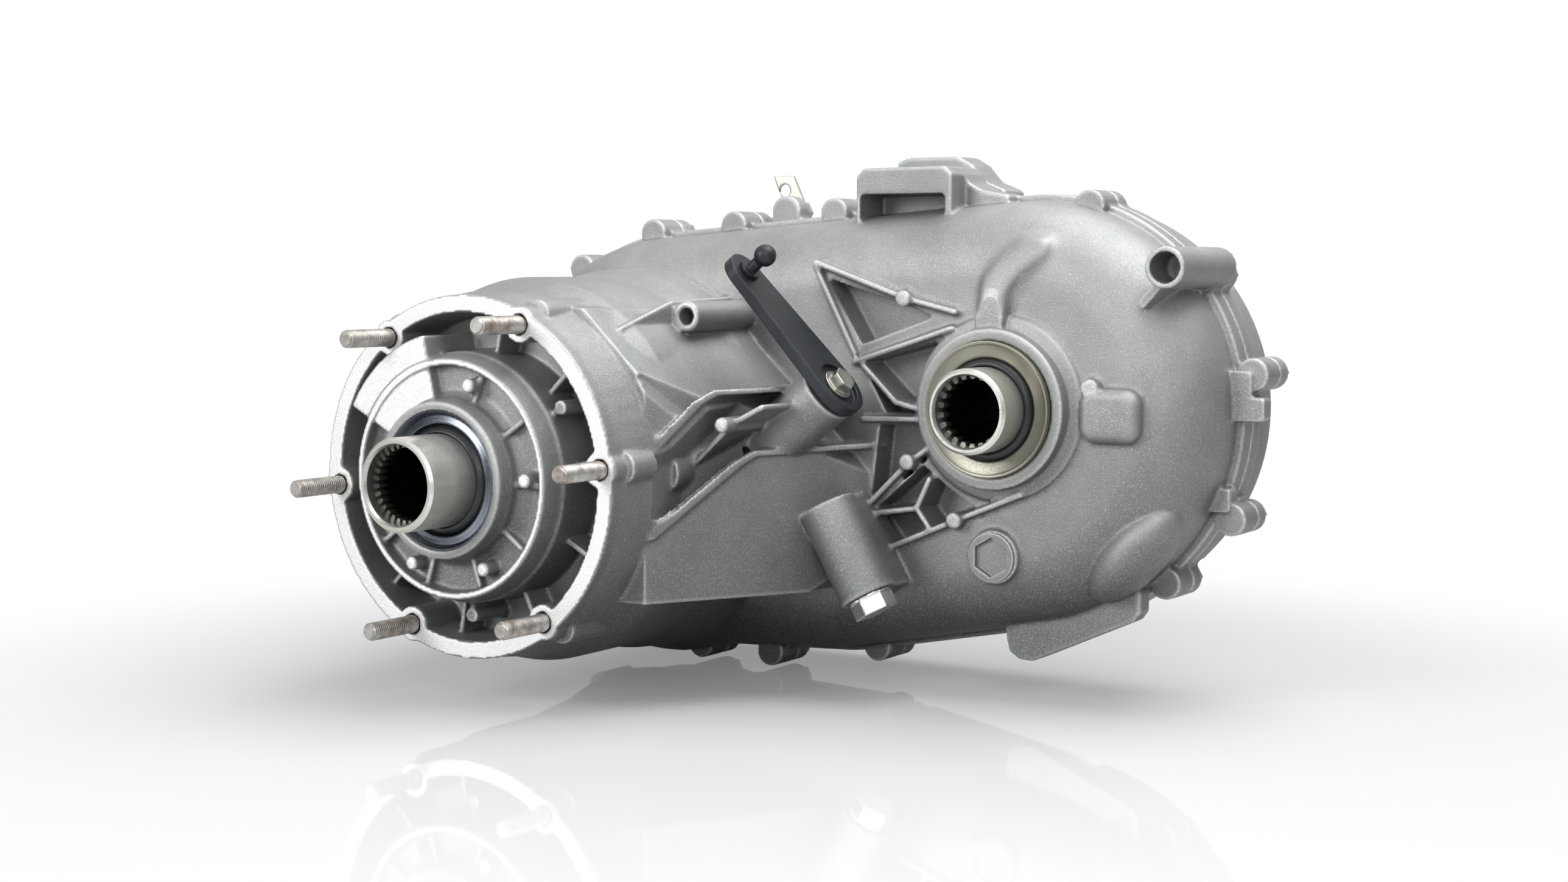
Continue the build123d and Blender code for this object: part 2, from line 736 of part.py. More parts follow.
def rear_extension():
    front = rear_floor + 6
    body = turned((
        (0, front), (extension_bolt_circle + 10, front), (
            extension_bolt_circle + 10, front + extension_flange,
        ),
        (
            extension_r, front + extension_flange + 4,
        ), (extension_r - 7, front + 40), (rear_seal_r + 11, extension_back - 20),
        (rear_seal_r + wall, extension_back), (0, extension_back),
    ))
    for k in range(extension_bolt_count):
        turn = Rot(0, 0, 90 - k * 360 / extension_bolt_count)
        body += bar(turn * Pos(48, 0) * Rectangle(24, 5), front + 5, front + 40)
    body += extension_sensor_boss()
    body -= turned((
        (0, front - 1), (rear_bearing[1] - 5, front - 1), (rear_bearing[1] - 5, front + 8), (
            tone_r + hidden_gap + 2, front + 10,
        ),
        (tone_r + hidden_gap + 2, front + 36), (bush_r + 3.5, extension_back - 29), (
            bush_r + 3.5, extension_back - rear_seal_width,
        ),
        (
            rear_seal_r, extension_back - rear_seal_width,
        ), (rear_seal_r, extension_back + 1), (0, extension_back + 1),
    ))
    for x, z in extension_bolt_places():
        body -= disc(bolt_r + clear, front - 1, front + extension_flange + 1, x, z)
        body -= disc(bolt_head_r + 1.5, front + extension_flange, front + 30, x, z)
    body -= bar_up(Circle(sensor_r + fit), 20, 90)
    return body


def bar_up(profile, low, high):
    """A plan-view profile run upwards at the station of the speed sensor."""
    return extrude(
        Plane(origin=(0, sensor_y, low), x_dir=(1, 0, 0), z_dir=(0, 0, 1)) * profile, amount=high - low,
    )


def extension_sensor_boss():
    return bar_up(Circle(sensor_r + 5), 20, extension_r + 8)


# Fasteners and plugs
def hexagon(across_flats):
    return RegularPolygon(across_flats / 2, 6, major_radius=False)


def case_bolts():
    bolts = Part()
    head = joint_y + joint_rim
    for x, z in bolt_places():
        bolts += disc(bolt_head_r, head, head + 1.5, x, z)
        bolts += bar(Pos(x, z) * hexagon(2 * bolt_head_r - 2.4), head + 1.5, head + bolt_head_height)
        bolts += disc(bolt_r, head - bolt_length + 8, head, x, z)
    return bolts


def extension_bolts():
    bolts = Part()
    head = rear_floor + 6 + extension_flange
    for x, z in extension_bolt_places():
        bolts += bar(Pos(x, z) * hexagon(2 * bolt_head_r - 2), head, head + bolt_head_height)
        bolts += disc(bolt_r, head - 21, head, x, z)
    return bolts


def flange_studs():
    studs = Part()
    for x, z in stud_places():
        studs += turned((
            (0, -stud_stand), (stud_r - 1, -stud_stand), (stud_r, -stud_stand + 1), (stud_r, 0),
            (stud_seat_r, 0), (stud_seat_r, stud_grip), (0, stud_grip),
        ), x, z)
    return studs


def drain_plug():
    plug = drain_bar(Circle(drain_thread_r), drain_depth, 0)
    plug += drain_bar(Circle(drain_head / 2 + 1.5), 0, -1.5)
    plug += drain_bar(hexagon(drain_head), -1.5, -10.5)
    return plug


def fill_plug():
    front = fill_front
    plug = disc(fill_plug_r, front - 2.5, front, fill_x, fill_z) + disc(
        fill_thread_r, front, front + fill_depth, fill_x, fill_z,
    )
    return plug - bar(
        Pos(fill_x, fill_z) * Rot(0, 0, 30) * hexagon(fill_socket), front - 3, front - 2.5 + fill_recess,
    )


def seal(outer, inner, front, back, x=0.0, z=0.0):
    """Radial lip seal: a case pressed into the bore, and a lip that runs just clear of the shaft."""
    lip = inner + clear
    body = turned((
        (outer, front), (outer - 3, front), (
            outer - 3, front + 3,
        ), (lip + 3, front + 3), (lip + 1.5, front - 1),
        (lip, front + 1), (lip, front + 4), (lip + 3, back - 1), (
            outer - 1.5, back - 1,
        ), (outer - 1.5, back), (outer, back),
    ), x, z)
    return body


# Bearings
def bearing_outer(size, front, x=0.0, z=0.0):
    bore, outer, width = size
    return ring(outer, outer - ring_thickness, front, front + width, x, z)


def bearing_inner(size, front, x=0.0, z=0.0):
    bore, outer, width = size
    return ring(bore + ring_thickness, bore, front, front + width, x, z)


def ball_circle(size):
    bore, outer, width = size
    return (bore + outer) / 2


def bearing_balls(size, front, count, x=0.0, z=0.0):
    """Balls between the two rings, each a little smaller than the space between them."""
    bore, outer, width = size
    radius = (outer - bore) / 2 - ring_thickness - clear
    balls = Part()
    for k in range(count):
        dx, dz = clock(k * 360 / count, ball_circle(size))
        balls += Pos(x + dx, front + width / 2, z + dz) * Sphere(radius)
    return balls


# Planetary low range
carrier_circle = gear_module * (sun_teeth + planet_teeth) / 2
sun_pitch = gear_module * sun_teeth / 2
gear_back = gear_front + gear_width
range_hub_front = gear_back - 19.0
range_hub_width = 12.0
clutch_root = range_clutch_r + clear
carrier_back = gear_back + 4.0


def input_gear():
    """Splined hub, bearing seat and sun gear, bored for the main shaft and the range hub."""
    tip = sun_pitch + 0.9 * gear_module
    body = turned((
        (0, -hub_front), (
            hub_r - 1.5, -hub_front,
        ), (hub_r, -hub_front + 1.5), (hub_r, -5), (input_bearing[0], -5),
        (input_bearing[0], input_bearing_back), (input_bearing[0] + 7, input_bearing_back),
        (input_bearing[0] + 7, gear_front), (0, gear_front),
    ))
    body += bar(gear_outline(sun_teeth, tip, sun_pitch - 1.25 * gear_module, backlash), gear_front, gear_back)
    mouth = hub_mouth_r
    body -= turned((
        (0, -hub_front - 1), (
            mouth + 1.5, -hub_front - 1,
        ), (mouth, -hub_front + 1.5), (mouth, -hub_front + 9),
        (0, -hub_front + 9),
    ))
    spline = spline_outline(input_spline_teeth, mouth, mouth - input_spline_height)
    body -= bar(spline, -hub_front + 8, -hub_front + input_spline_depth)
    body -= disc(pilot_bearing_r, pilot_front - 2, gear_back)
    body -= disc(range_clutch_r + clear, range_hub_front + range_hub_width + 2, gear_back + 1)
    body -= disc(range_clutch_r + clear, range_hub_front - 5, range_hub_front - 2)
    mates = spline_outline(clutch_teeth, clutch_root, clutch_root - clutch_depth, clear)
    body -= bar(mates, range_hub_front - 3, range_hub_front + range_hub_width + 3)
    return body


def annulus_gear():
    pitch = gear_module * annulus_teeth / 2
    space = gear_outline(annulus_teeth, pitch + 1.25 * gear_module, pitch - 0.7 * gear_module, -backlash)
    body = disc(annulus_r, gear_front, gear_back)
    turn = Rot(0, 0, 180 / annulus_teeth)
    return body - bar(turn * space, gear_front - 1, gear_back + 1)


def planet_gear(k):
    pitch = gear_module * planet_teeth / 2
    profile = gear_outline(planet_teeth, pitch + 0.9 * gear_module, pitch - 1.25 * gear_module, backlash)
    body = bar(Rot(0, 0, 180 / planet_teeth) * profile, gear_front + 1, gear_back - 1)
    body -= disc(planet_pin_r + fit, gear_front, gear_back)
    turn = 360 / planet_count * k
    x, z = (carrier_circle * part for part in unit(turn))
    return Pos(x, 0, z) * Rotation(0, -turn, 0) * body


def planet_pins():
    pins = Part()
    for k in range(planet_count):
        x, z = (carrier_circle * part for part in unit(360 / planet_count * k))
        pins += disc(planet_pin_r, gear_front - clear - carrier_plate, carrier_back + 8, x, z)
    return pins


def planet_carrier():
    front = gear_front - clear
    back = carrier_back
    plate_r = carrier_circle + planet_pin_r + 8
    body = ring(plate_r, input_bearing[0] + 7 + 1, front - carrier_plate, front)
    body += ring(plate_r, range_clutch_r + clear, back, back + carrier_ring)
    post = Pos(carrier_circle, 0) * Rectangle(14, 26)
    for k in range(planet_count):
        turn = Rot(0, 0, 360 / planet_count * (k + 0.5))
        body += bar(turn * post, front - 1, back + 1)
    for k in range(planet_count):
        x, z = (carrier_circle * part for part in unit(360 / planet_count * k))
        body -= disc(planet_pin_r, front - carrier_plate - 1, back + 8, x, z)
    return body


# Main shaft and what slides on it
pilot_bearing_r = 17.0
pilot_front = 30.0
spline_front = pilot_front + pilot_length + 4
mode_hub_front = 152.0
mode_hub_width = 18.0
sleeve_front = 157.0
sleeve_back = 181.0
sleeve_groove = 163.0
rear_seat_front = rear_bearing_front
rear_seat_back = rear_bearing_front + rear_bearing[2]
shaft_back = rear_seat_back + rear_shaft_length


def mainshaft():
    body = turned((
        (0, pilot_front), (pilot_r, pilot_front), (pilot_r, spline_front), (shaft_root_r, spline_front),
        (shaft_root_r, sprocket_front - 14), (
            sprocket_seat_r, sprocket_front - 14,
        ), (sprocket_seat_r, rear_seat_front),
        (rear_bearing[0], rear_seat_front), (
            rear_bearing[0], rear_seat_back + 3,
        ), (rear_shaft_r, rear_seat_back + 3),
        (rear_shaft_r, shaft_back), (0, shaft_back),
    ))
    teeth = spline_outline(shaft_teeth, shaft_r, shaft_root_r - 0.2)
    body += bar(teeth, spline_front + 2, sprocket_front - 14)
    return body


def shaft_bore(front, back):
    """Splined bore of a piece that slides or sits on the main shaft."""
    teeth = spline_outline(shaft_teeth, shaft_r + clear, shaft_root_r - 0.2 + clear, clear)
    return bar(teeth, front, back) + disc(shaft_root_r + clear, front, back)


def range_hub():
    front = range_hub_front
    collar = range_collar_front
    groove = collar_groove
    teeth = spline_outline(clutch_teeth, range_clutch_r, range_clutch_r - clutch_depth)
    body = bar(teeth, front, front + range_hub_width)
    body += turned((
        (0, front), (range_clutch_r - clutch_depth, front), (range_clutch_r - clutch_depth, collar),
        (collar_r, collar), (collar_r, collar + collar_flange), (collar_r - 6, collar + collar_flange),
        (collar_r - 6, collar + collar_flange + groove), (collar_r, collar + collar_flange + groove),
        (collar_r, collar + 2 * collar_flange + groove), (0, collar + 2 * collar_flange + groove),
    ))
    return body - shaft_bore(front - 1, collar + 2 * collar_flange + groove + 1)


range_collar_front = carrier_back + carrier_ring + hidden_gap


def mode_hub():
    back = mode_hub_front + mode_hub_width
    body = bar(
        spline_outline(clutch_teeth, mode_clutch_r, mode_clutch_r - clutch_depth), mode_hub_front, back,
    )
    return body - shaft_bore(mode_hub_front - 1, back + 1)


def mode_sleeve():
    groove = sleeve_groove
    body = turned((
        (0, sleeve_front), (sleeve_r, sleeve_front), (sleeve_r, groove), (sleeve_r - 5, groove),
        (sleeve_r - 5, groove + collar_groove), (sleeve_r, groove + collar_groove),
        (sleeve_r, groove + collar_groove + 3), (
            sleeve_r - 3, groove + collar_groove + 3,
        ), (sleeve_r - 3, sleeve_back),
        (0, sleeve_back),
    ))
    teeth = spline_outline(clutch_teeth, mode_clutch_r + clear, mode_clutch_r - clutch_depth + clear, clear)
    return body - bar(teeth, sleeve_front - 1, sleeve_back + 1)


def shift_fork(bore, outer, front, thickness, x, z):
    """Half ring that sits in a collar's groove, with an arm to a hub on the shift rail."""
    half = Rot(0, 0, output_rise) * Pos(outer / 2 + 2, 0) * Rectangle(outer, 2 * outer + 2)
    arch = (Circle(outer) - Circle(bore)) & half
    reach = sqrt(x ** 2 + z ** 2)
    arm = Rot(0, 0, output_rise) * Pos((reach + bore) / 2 + 3, 0) * Rectangle(reach - bore - 2, 22)
    return bar(arch + arm, front, front + thickness)


def range_fork():
    groove_front = range_collar_front + collar_flange
    front = groove_front + clear
    thickness = collar_groove - 2 * clear
    body = shift_fork(collar_r - 6 + clear, collar_r + 9, front, thickness, rail_x, rail_z)
    body += disc(rail_hub_r, range_fork_hub_front, range_fork_hub_back, rail_x, rail_z)
    boss_low = 84
    boss = Plane(
        origin=shift_point(fork_pin_reach, fork_pin_y, boss_low), x_dir=(0, 1, 0), z_dir=shift_axis,
    ) * Circle(7)
    body += extrude(boss, amount=sector_low - clear - boss_low)
    top = shift_point(fork_pin_reach, front, 85)
    web = strip(((rail_x, rail_z), (top[0], top[2])), 13)
    body += bar(web, front, front + thickness)
    pin = Plane(
        origin=shift_point(fork_pin_reach, fork_pin_y, boss_low), x_dir=(0, 1, 0), z_dir=shift_axis,
    ) * Circle(fork_pin_r)
    body += extrude(pin, amount=sector_low + sector_thickness - boss_low)
    body -= disc(rail_r + fit, 0, joint_y, rail_x, rail_z)
    return body


range_fork_hub_front = 97.0
range_fork_hub_back = 114.0
fork_pin_reach = range_travel / 2 / tan(radians(range_swing / 2))
fork_pin_y = shift_y - range_travel / 2
fork_pin_r = 4.0
sector_low = 96.5
sector_thickness = 5.0
shift_axis = (unit(shift_tilt)[0], 0, unit(shift_tilt)[1])


def mode_fork():
    front = sleeve_groove + clear
    thickness = collar_groove - 2 * clear
    body = shift_fork(sleeve_r - 5 + clear, sleeve_r + 8, front, thickness, rail_x, rail_z)
    body += disc(rail_hub_r, front - 6, front + thickness + 5, rail_x, rail_z)
    body -= disc(rail_r + fit, 0, joint_y, rail_x, rail_z)
    return body


def shift_rail():
    return disc(rail_r, rail_front, rail_back, rail_x, rail_z)


# Shift shaft, sector and lever
sector_hub_r = 13.0
lever_low = shift_boss_height + 2.5
lever_thickness = 6.5
lever_length = 80.0
lever_lean = 12.8      # degrees forwards at rest
lever_foot_r = 17.0
lever_head_r = 11.5
ball_r = 6.2
ball_height = 20.0


def shift_sector():
    """Plate on the shift shaft with a slot for the fork's pin and a notched rim."""
    lean = Rot(0, 0, range_swing / 2)
    plate = make_hull([edge for part in (Circle(sector_hub_r), Pos(fork_pin_reach + 4, 0) * Circle(9.5))
                       for edge in part.edges()])
    slot = Pos(fork_pin_reach + 1.2, 0) * SlotOverall(2 * fork_pin_r + 5, 2 * fork_pin_r + 2 * clear + 0.4)
    body = shift_bar(lean * plate, sector_low, sector_low + sector_thickness)
    body += shift_bar(Circle(sector_hub_r), sector_low, sector_low + sector_thickness + 2.5)
    body -= shift_bar(lean * slot, sector_low - 1, sector_low + sector_thickness + 1)
    return body - shift_bar(Circle(shift_shaft_r), sector_low - 1, sector_low + sector_thickness + 7)


def shift_shaft():
    body = shift_bar(Circle(shift_shaft_r), sector_low, lever_low + lever_thickness - 3)
    return body - shift_bar(Circle(3), lever_low - 14, lever_low + lever_thickness)


def shift_shaft_seal():
    front = shift_boss_height
    return shift_bar(
        Circle(shift_shaft_r + 4) - Circle(shift_shaft_r + clear), front - shift_seal_depth, front,
    )


def shift_lever():
    lean = Rot(0, 0, lever_lean)
    parts = (Circle(lever_foot_r), Pos(lever_length, 0) * Circle(lever_head_r))
    plate = make_hull([edge for part in parts for edge in part.edges()])
    body = shift_bar(lean * plate, lever_low, lever_low + lever_thickness)
    body -= shift_bar(
        Circle(lever_foot_r - 4), lever_low + lever_thickness - 2.5, lever_low + lever_thickness + 1,
    )
    body -= shift_bar(Circle(shift_shaft_r), lever_low - 1, lever_low + lever_thickness - 3)
    body -= shift_bar(Circle(3.2), lever_low - 1, lever_low + lever_thickness + 1)
    return body - shift_bar(
        lean * Pos(lever_length, 0) * Circle(3.5), lever_low - 1, lever_low + lever_thickness + 1,
    )


def lever_bolt():
    seat = lever_low + lever_thickness - 2.5
    body = shift_bar(Circle(9), seat, seat + 1.8)
    body += shift_bar(hexagon(12), seat + 1.8, seat + 8)
    return body + shift_bar(Circle(3), lever_low - 12, seat)


def ball_stud():
    lean = Rot(0, 0, lever_lean)
    seat = lever_low + lever_thickness
    place = lean * Pos(lever_length, 0)
    body = shift_bar(place * Circle(6.5), seat, seat + 2.5)
    body += shift_bar(place * Circle(3.5), lever_low - 1.5, seat + ball_height - 2)
    frame = shift_frame(seat + ball_height - ball_r) * place
    return body + frame * Sphere(ball_r)


# Chain drive
def sprocket(x, z):
    teeth = spline_outline(sprocket_teeth, sprocket_r, sprocket_r - 5.0)
    return bar(Pos(x, z) * teeth, sprocket_front, sprocket_back)


def drive_sprocket():
    back = sprocket_back
    body = sprocket(0, 0)
    body += disc(mode_clutch_r - clutch_depth, sprocket_front - 11, sprocket_front)
    body += bar(
        spline_outline(clutch_teeth, mode_clutch_r, mode_clutch_r - clutch_depth), sprocket_front - 11,
        sprocket_front - 2,
    )
    return body - disc(sprocket_seat_r + fit, sprocket_front - 12, back + 1)


def driven_sprocket():
    body = sprocket(output_x, output_z)
    return body - disc(output_spline_r, sprocket_front - 1, sprocket_back + 1, output_x, output_z)


output_spline_r = 27.0


def chain_path(offset, toe=0.0):
    """Closed outline at an offset from the sprocket tips, with a notch at every link if it has toes."""
    count = round(centre_distance / chain_pitch)
    arc_count = round(pi * (sprocket_r + chain_height / 2) / chain_pitch)
    radius = sprocket_r + offset
    corner = radius / cos(pi / arc_count / 2)
    points = []
    for k in range(count):
        along = k * centre_distance / count
        points.append((along, radius))
        points.append((along + centre_distance / count / 2, radius + toe))
    points.append((centre_distance, radius))
    for k in range(arc_count):
        middle = pi / 2 - (k + 0.5) * pi / arc_count
        points.append((centre_distance + (corner + toe) * cos(middle), (corner + toe) * sin(middle)))
        end = pi / 2 - (k + 1) * pi / arc_count
        points.append((centre_distance + corner * cos(end), corner * sin(end)))
    points[-1] = (centre_distance, -radius)
    for k in range(count):
        along = centre_distance - k * centre_distance / count
        points.append((along - centre_distance / count / 2, -radius - toe))
        points.append((along - centre_distance / count, -radius))
    points[-1] = (0, -radius)
    for k in range(arc_count - 1):
        middle = -pi / 2 - (k + 0.5) * pi / arc_count
        points.append(((corner + toe) * cos(middle), (corner + toe) * sin(middle)))
        end = -pi / 2 - (k + 1) * pi / arc_count
        points.append((corner * cos(end), corner * sin(end)))
    middle = -pi / 2 - (arc_count - 0.5) * pi / arc_count
    points.append(((corner + toe) * cos(middle), (corner + toe) * sin(middle)))
    return Rot(0, 0, output_rise) * outline(points)


def drive_chain():
    """Toothed chain round both sprockets, its links pulled up nose to tail."""
    front = sprocket_front + (sprocket_width - chain_width) / 2
    outer = make_hull([edge for along in (0, centre_distance)
                       for edge in (Pos(along, 0) * Circle(sprocket_r + clear + chain_height)).edges()])
    band = Rot(0, 0, output_rise) * outer - chain_path(clear, chain_height * 0.55)
    return bar(band, front, front + chain_width)


def front_output_shaft():
    back = output_tail_front + 24
    body = turned((
        (0, output_shaft_front), (
            output_shaft_r - 1.5, output_shaft_front,
        ), (output_shaft_r, output_shaft_front + 1.5),
        (output_shaft_r, output_bearing_front - 2), (output_bearing[0], output_bearing_front - 2),
        (
            output_bearing[0], output_bearing_back,
        ), (output_spline_r, output_bearing_back), (output_spline_r, sprocket_back + 2),
        (output_tail_r - 6, sprocket_back + 2), (output_tail_r - 6, back), (0, back),
    ), output_x, output_z)
    body -= turned((
        (0, output_shaft_front - 1), (
            output_mouth_r + 1.5, output_shaft_front - 1,
        ), (output_mouth_r, output_shaft_front + 2),
        (output_mouth_r, output_shaft_front + 8), (0, output_shaft_front + 8),
    ), output_x, output_z)
    teeth = spline_outline(output_spline_teeth, output_mouth_r, output_mouth_r - 1.8)
    return body - bar(Pos(output_x, output_z) * teeth, output_shaft_front + 7, output_shaft_front + 60)


def output_tail_bearing():
    return ring(
        output_tail_r, output_tail_r - 6 + fit, output_tail_front + 2, output_tail_front + 22, output_x,
        output_z,
    )


# Oil pump, pick-up and sensing
pump_r = 40.0
pump_front = joint_y + 4
pump_width = 13.0


def oil_pump():
    """Housing round the main shaft, with a chamber for the rotor and a port for the pick-up."""
    body = ring(pump_r, sprocket_seat_r + clear, pump_front, pump_front + pump_width)
    body += disc(9, pump_front, pump_front + pump_width, 0, -pump_r - 2)
    body -= disc(pump_rotor_r + clear, pump_front + 4, pump_front + pump_width - 4)
    body -= disc(4.5, pump_front + 6, pump_front + pump_width + 1, 0, -pump_r - 2)
    return body


pump_rotor_r = 32.0


def pump_rotor():
    back = pump_front + pump_width - 4
    body = bar(spline_outline(8, pump_rotor_r, pump_rotor_r - 4), pump_front + 4 + clear, back - clear)
    return body - disc(sprocket_seat_r, pump_front, back + 1)


def tone_wheel():
    front = sensor_y - 4.5
    body = bar(spline_outline(16, tone_r, tone_r - 4), front, front + 9)
    return body - disc(rear_shaft_r, front - 1, front + 10)


def speed_sensor():
    low = tone_r + 1.0
    body = bar_up(Circle(sensor_r), low, extension_r + 8)
    body += bar_up(Circle(sensor_r + 4), extension_r + 8, extension_r + 12)
    return body + bar_up(Rectangle(14, 20), extension_r + 12, extension_r + 24)


def pickup_tube():
    path = FilletPolyline(
        (0, pump_front + 8, -pump_r - 2), (0, pump_front + 25, -pump_r - 2), (0, pump_front + 25, -95),
        radius=6.5,
    )
    start = Plane(origin=path @ 0, z_dir=path % 0)
    return sweep(start * (Circle(4.5) - Circle(3)), path=path)


def pickup_screen():
    return Pos(0, pump_front + 25, -99) * Box(34, 14, 8)


def chip_magnet():
    width, length, height = 26, 18, 8
    floor = main_rim_z - sqrt((main_rim_r - rim_step - wall) ** 2 - width ** 2 / 4)
    return Pos(main_rim_x, joint_y - 18, floor + height / 2 + 0.15) * Box(width, length, height)


def harness_bracket():
    """Bent steel tab on top, just behind the joint."""
    foot = Pos(bracket_bolt_x, bracket_bolt_z) * Circle(8)
    tab = outline((
        (bracket_bolt_x - 8, bracket_bolt_z), (bracket_bolt_x + 8, bracket_bolt_z),
        (bracket_bolt_x - 3, bracket_bolt_z + 22.5), (bracket_bolt_x - 17, bracket_bolt_z + 22.5),
    ))
    hole = Pos(
        bracket_bolt_x - 9, bracket_bolt_z + 13.5,
    ) * Circle(4.0) + Pos(bracket_bolt_x, bracket_bolt_z) * Circle(bolt_r + clear)
    front = joint_y + joint_rim
    return bar(foot + tab - hole, front, front + 2.5)


def bracket_bolt():
    front = joint_y + joint_rim + 2.5
    head = Pos(bracket_bolt_x, bracket_bolt_z) * hexagon(2 * bolt_head_r - 2)
    return disc(
        bolt_r, front - 11, front, bracket_bolt_x, bracket_bolt_z,
    ) + bar(head, front, front + bolt_head_height)


def input_snap_ring():
    return ring(input_bearing[1], input_bearing[1] - 4, input_bearing_back, input_bearing_back + 2)


def hub_snap_ring():
    return ring(input_bearing[0] + 4, input_bearing[0], -4.5, -3)


def pilot_bearing():
    return ring(pilot_bearing_r, pilot_r + fit, pilot_front, pilot_front + pilot_length)


def rear_bush():
    return ring(bush_r + 3.5, bush_r, extension_back - 28, extension_back - rear_seal_width - 2)


pieces = {
    "front_case": front_case(),
    "rear_case": rear_case(),
    "rear_extension": rear_extension(),
    "case_bolts": case_bolts(),
    "extension_bolts": extension_bolts(),
    "flange_studs": flange_studs(),
    "drain_plug": drain_plug(),
    "fill_plug": fill_plug(),
    "input_seal": seal(seal_r, hub_r, -tower_front + 1, -tower_front + 1 + seal_width),
    "front_output_seal": seal(
        output_seal_r, output_shaft_r, output_seal_front, output_seal_front + 10, output_x, output_z,
    ),
    "rear_output_seal": seal(rear_seal_r, bush_r, extension_back - rear_seal_width, extension_back),
    "input_bearing_outer": bearing_outer(input_bearing, bearing_floor),
    "input_bearing_inner": bearing_inner(input_bearing, bearing_floor),
    "input_bearing_balls": bearing_balls(input_bearing, bearing_floor, ball_count),
    "input_snap_ring": input_snap_ring(),
    "hub_snap_ring": hub_snap_ring(),
    "input_gear": input_gear(),
    "annulus_gear": annulus_gear(),
    "planet_carrier": planet_carrier(),
    "planet_pins": planet_pins(),
    "pilot_bearing": pilot_bearing(),
    "mainshaft": mainshaft(),
    "range_hub": range_hub(),
    "mode_hub": mode_hub(),
    "mode_sleeve": mode_sleeve(),
    "range_fork": range_fork(),
    "mode_fork": mode_fork(),
    "shift_rail": shift_rail(),
    "shift_sector": shift_sector(),
    "shift_shaft": shift_shaft(),
    "shift_shaft_seal": shift_shaft_seal(),
    "shift_lever": shift_lever(),
    "lever_bolt": lever_bolt(),
    "ball_stud": ball_stud(),
    "drive_sprocket": drive_sprocket(),
    "driven_sprocket": driven_sprocket(),
    "drive_chain": drive_chain(),
    "front_output_shaft": front_output_shaft(),
    "output_bearing_outer": bearing_outer(output_bearing, output_bearing_front, output_x, output_z),
    "output_bearing_inner": bearing_inner(output_bearing, output_bearing_front, output_x, output_z),
    "output_tail_bearing": output_tail_bearing(),
    "rear_bearing_outer": bearing_outer(rear_bearing, rear_bearing_front),
    "rear_bearing_inner": bearing_inner(rear_bearing, rear_bearing_front),
    "rear_bush": rear_bush(),
    "oil_pump": oil_pump(),
    "pump_rotor": pump_rotor(),
    "tone_wheel": tone_wheel(),
    "speed_sensor": speed_sensor(),
    "pickup_tube": pickup_tube(),
    "pickup_screen": pickup_screen(),
    "chip_magnet": chip_magnet(),
    "harness_bracket": harness_bracket(),
    "bracket_bolt": bracket_bolt(),
}
for k in range(planet_count):
    pieces[f"planet_gear_{k + 1}"] = planet_gear(k)

for name, piece in pieces.items():
    export_step(piece, f"parts/{name}.step")
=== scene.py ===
import json
import math

import bmesh
import bpy
import numpy as np
from mathutils import Matrix, Vector


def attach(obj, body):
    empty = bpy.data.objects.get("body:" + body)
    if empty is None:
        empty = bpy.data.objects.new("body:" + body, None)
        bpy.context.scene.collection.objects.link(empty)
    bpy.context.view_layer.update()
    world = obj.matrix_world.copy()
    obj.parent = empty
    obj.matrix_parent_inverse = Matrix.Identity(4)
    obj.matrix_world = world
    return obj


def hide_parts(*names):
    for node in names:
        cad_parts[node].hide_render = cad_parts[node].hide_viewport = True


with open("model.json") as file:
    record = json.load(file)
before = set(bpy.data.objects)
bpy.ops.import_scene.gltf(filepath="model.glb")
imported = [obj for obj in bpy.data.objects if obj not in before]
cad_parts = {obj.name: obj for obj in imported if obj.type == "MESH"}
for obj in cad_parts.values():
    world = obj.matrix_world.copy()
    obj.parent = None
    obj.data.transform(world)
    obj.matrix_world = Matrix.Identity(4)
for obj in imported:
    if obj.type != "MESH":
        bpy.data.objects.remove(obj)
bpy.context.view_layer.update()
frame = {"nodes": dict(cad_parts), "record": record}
scene = bpy.context.scene

# Shared places of the object, in metres: input axis at the origin, front output to the right
OUTPUT = Vector((0.24699, 0.0, 0.03868))
FLOOR_Z = -0.1285


# Node helpers
def new_material(name):
    material = bpy.data.materials.new(name)
    material.use_nodes = True
    nodes = material.node_tree.nodes
    links = material.node_tree.links
    shader = nodes["Principled BSDF"]
    return material, nodes, links, shader


def noise(nodes, links, coords, scale, detail=2.0, rough=0.5):
    node = nodes.new("ShaderNodeTexNoise")
    node.inputs["Scale"].default_value = scale
    node.inputs["Detail"].default_value = detail
    node.inputs["Roughness"].default_value = rough
    links.new(coords, node.inputs["Vector"])
    return node.outputs["Fac"]


def ramp(nodes, links, value, stops):
    node = nodes.new("ShaderNodeValToRGB")
    elements = node.color_ramp.elements
    while len(elements) < len(stops):
        elements.new(0.5)
    for element, (place, colour) in zip(elements, stops):
        element.position = place
        element.color = (*colour, 1.0)
    links.new(value, node.inputs["Fac"])
    return node.outputs["Color"]


def value_range(nodes, links, value, low, high, to_low, to_high):
    node = nodes.new("ShaderNodeMapRange")
    for name, number in (("From Min", low), ("From Max", high), ("To Min", to_low), ("To Max", to_high)):
        node.inputs[name].default_value = number
    links.new(value, node.inputs["Value"])
    return node.outputs["Result"]


def bump(nodes, links, height, distance, strength=1.0, normal=None):
    node = nodes.new("ShaderNodeBump")
    node.inputs["Distance"].default_value = distance
    node.inputs["Strength"].default_value = strength
    links.new(height, node.inputs["Height"])
    if normal is not None:
        links.new(normal, node.inputs["Normal"])
    return node.outputs["Normal"]


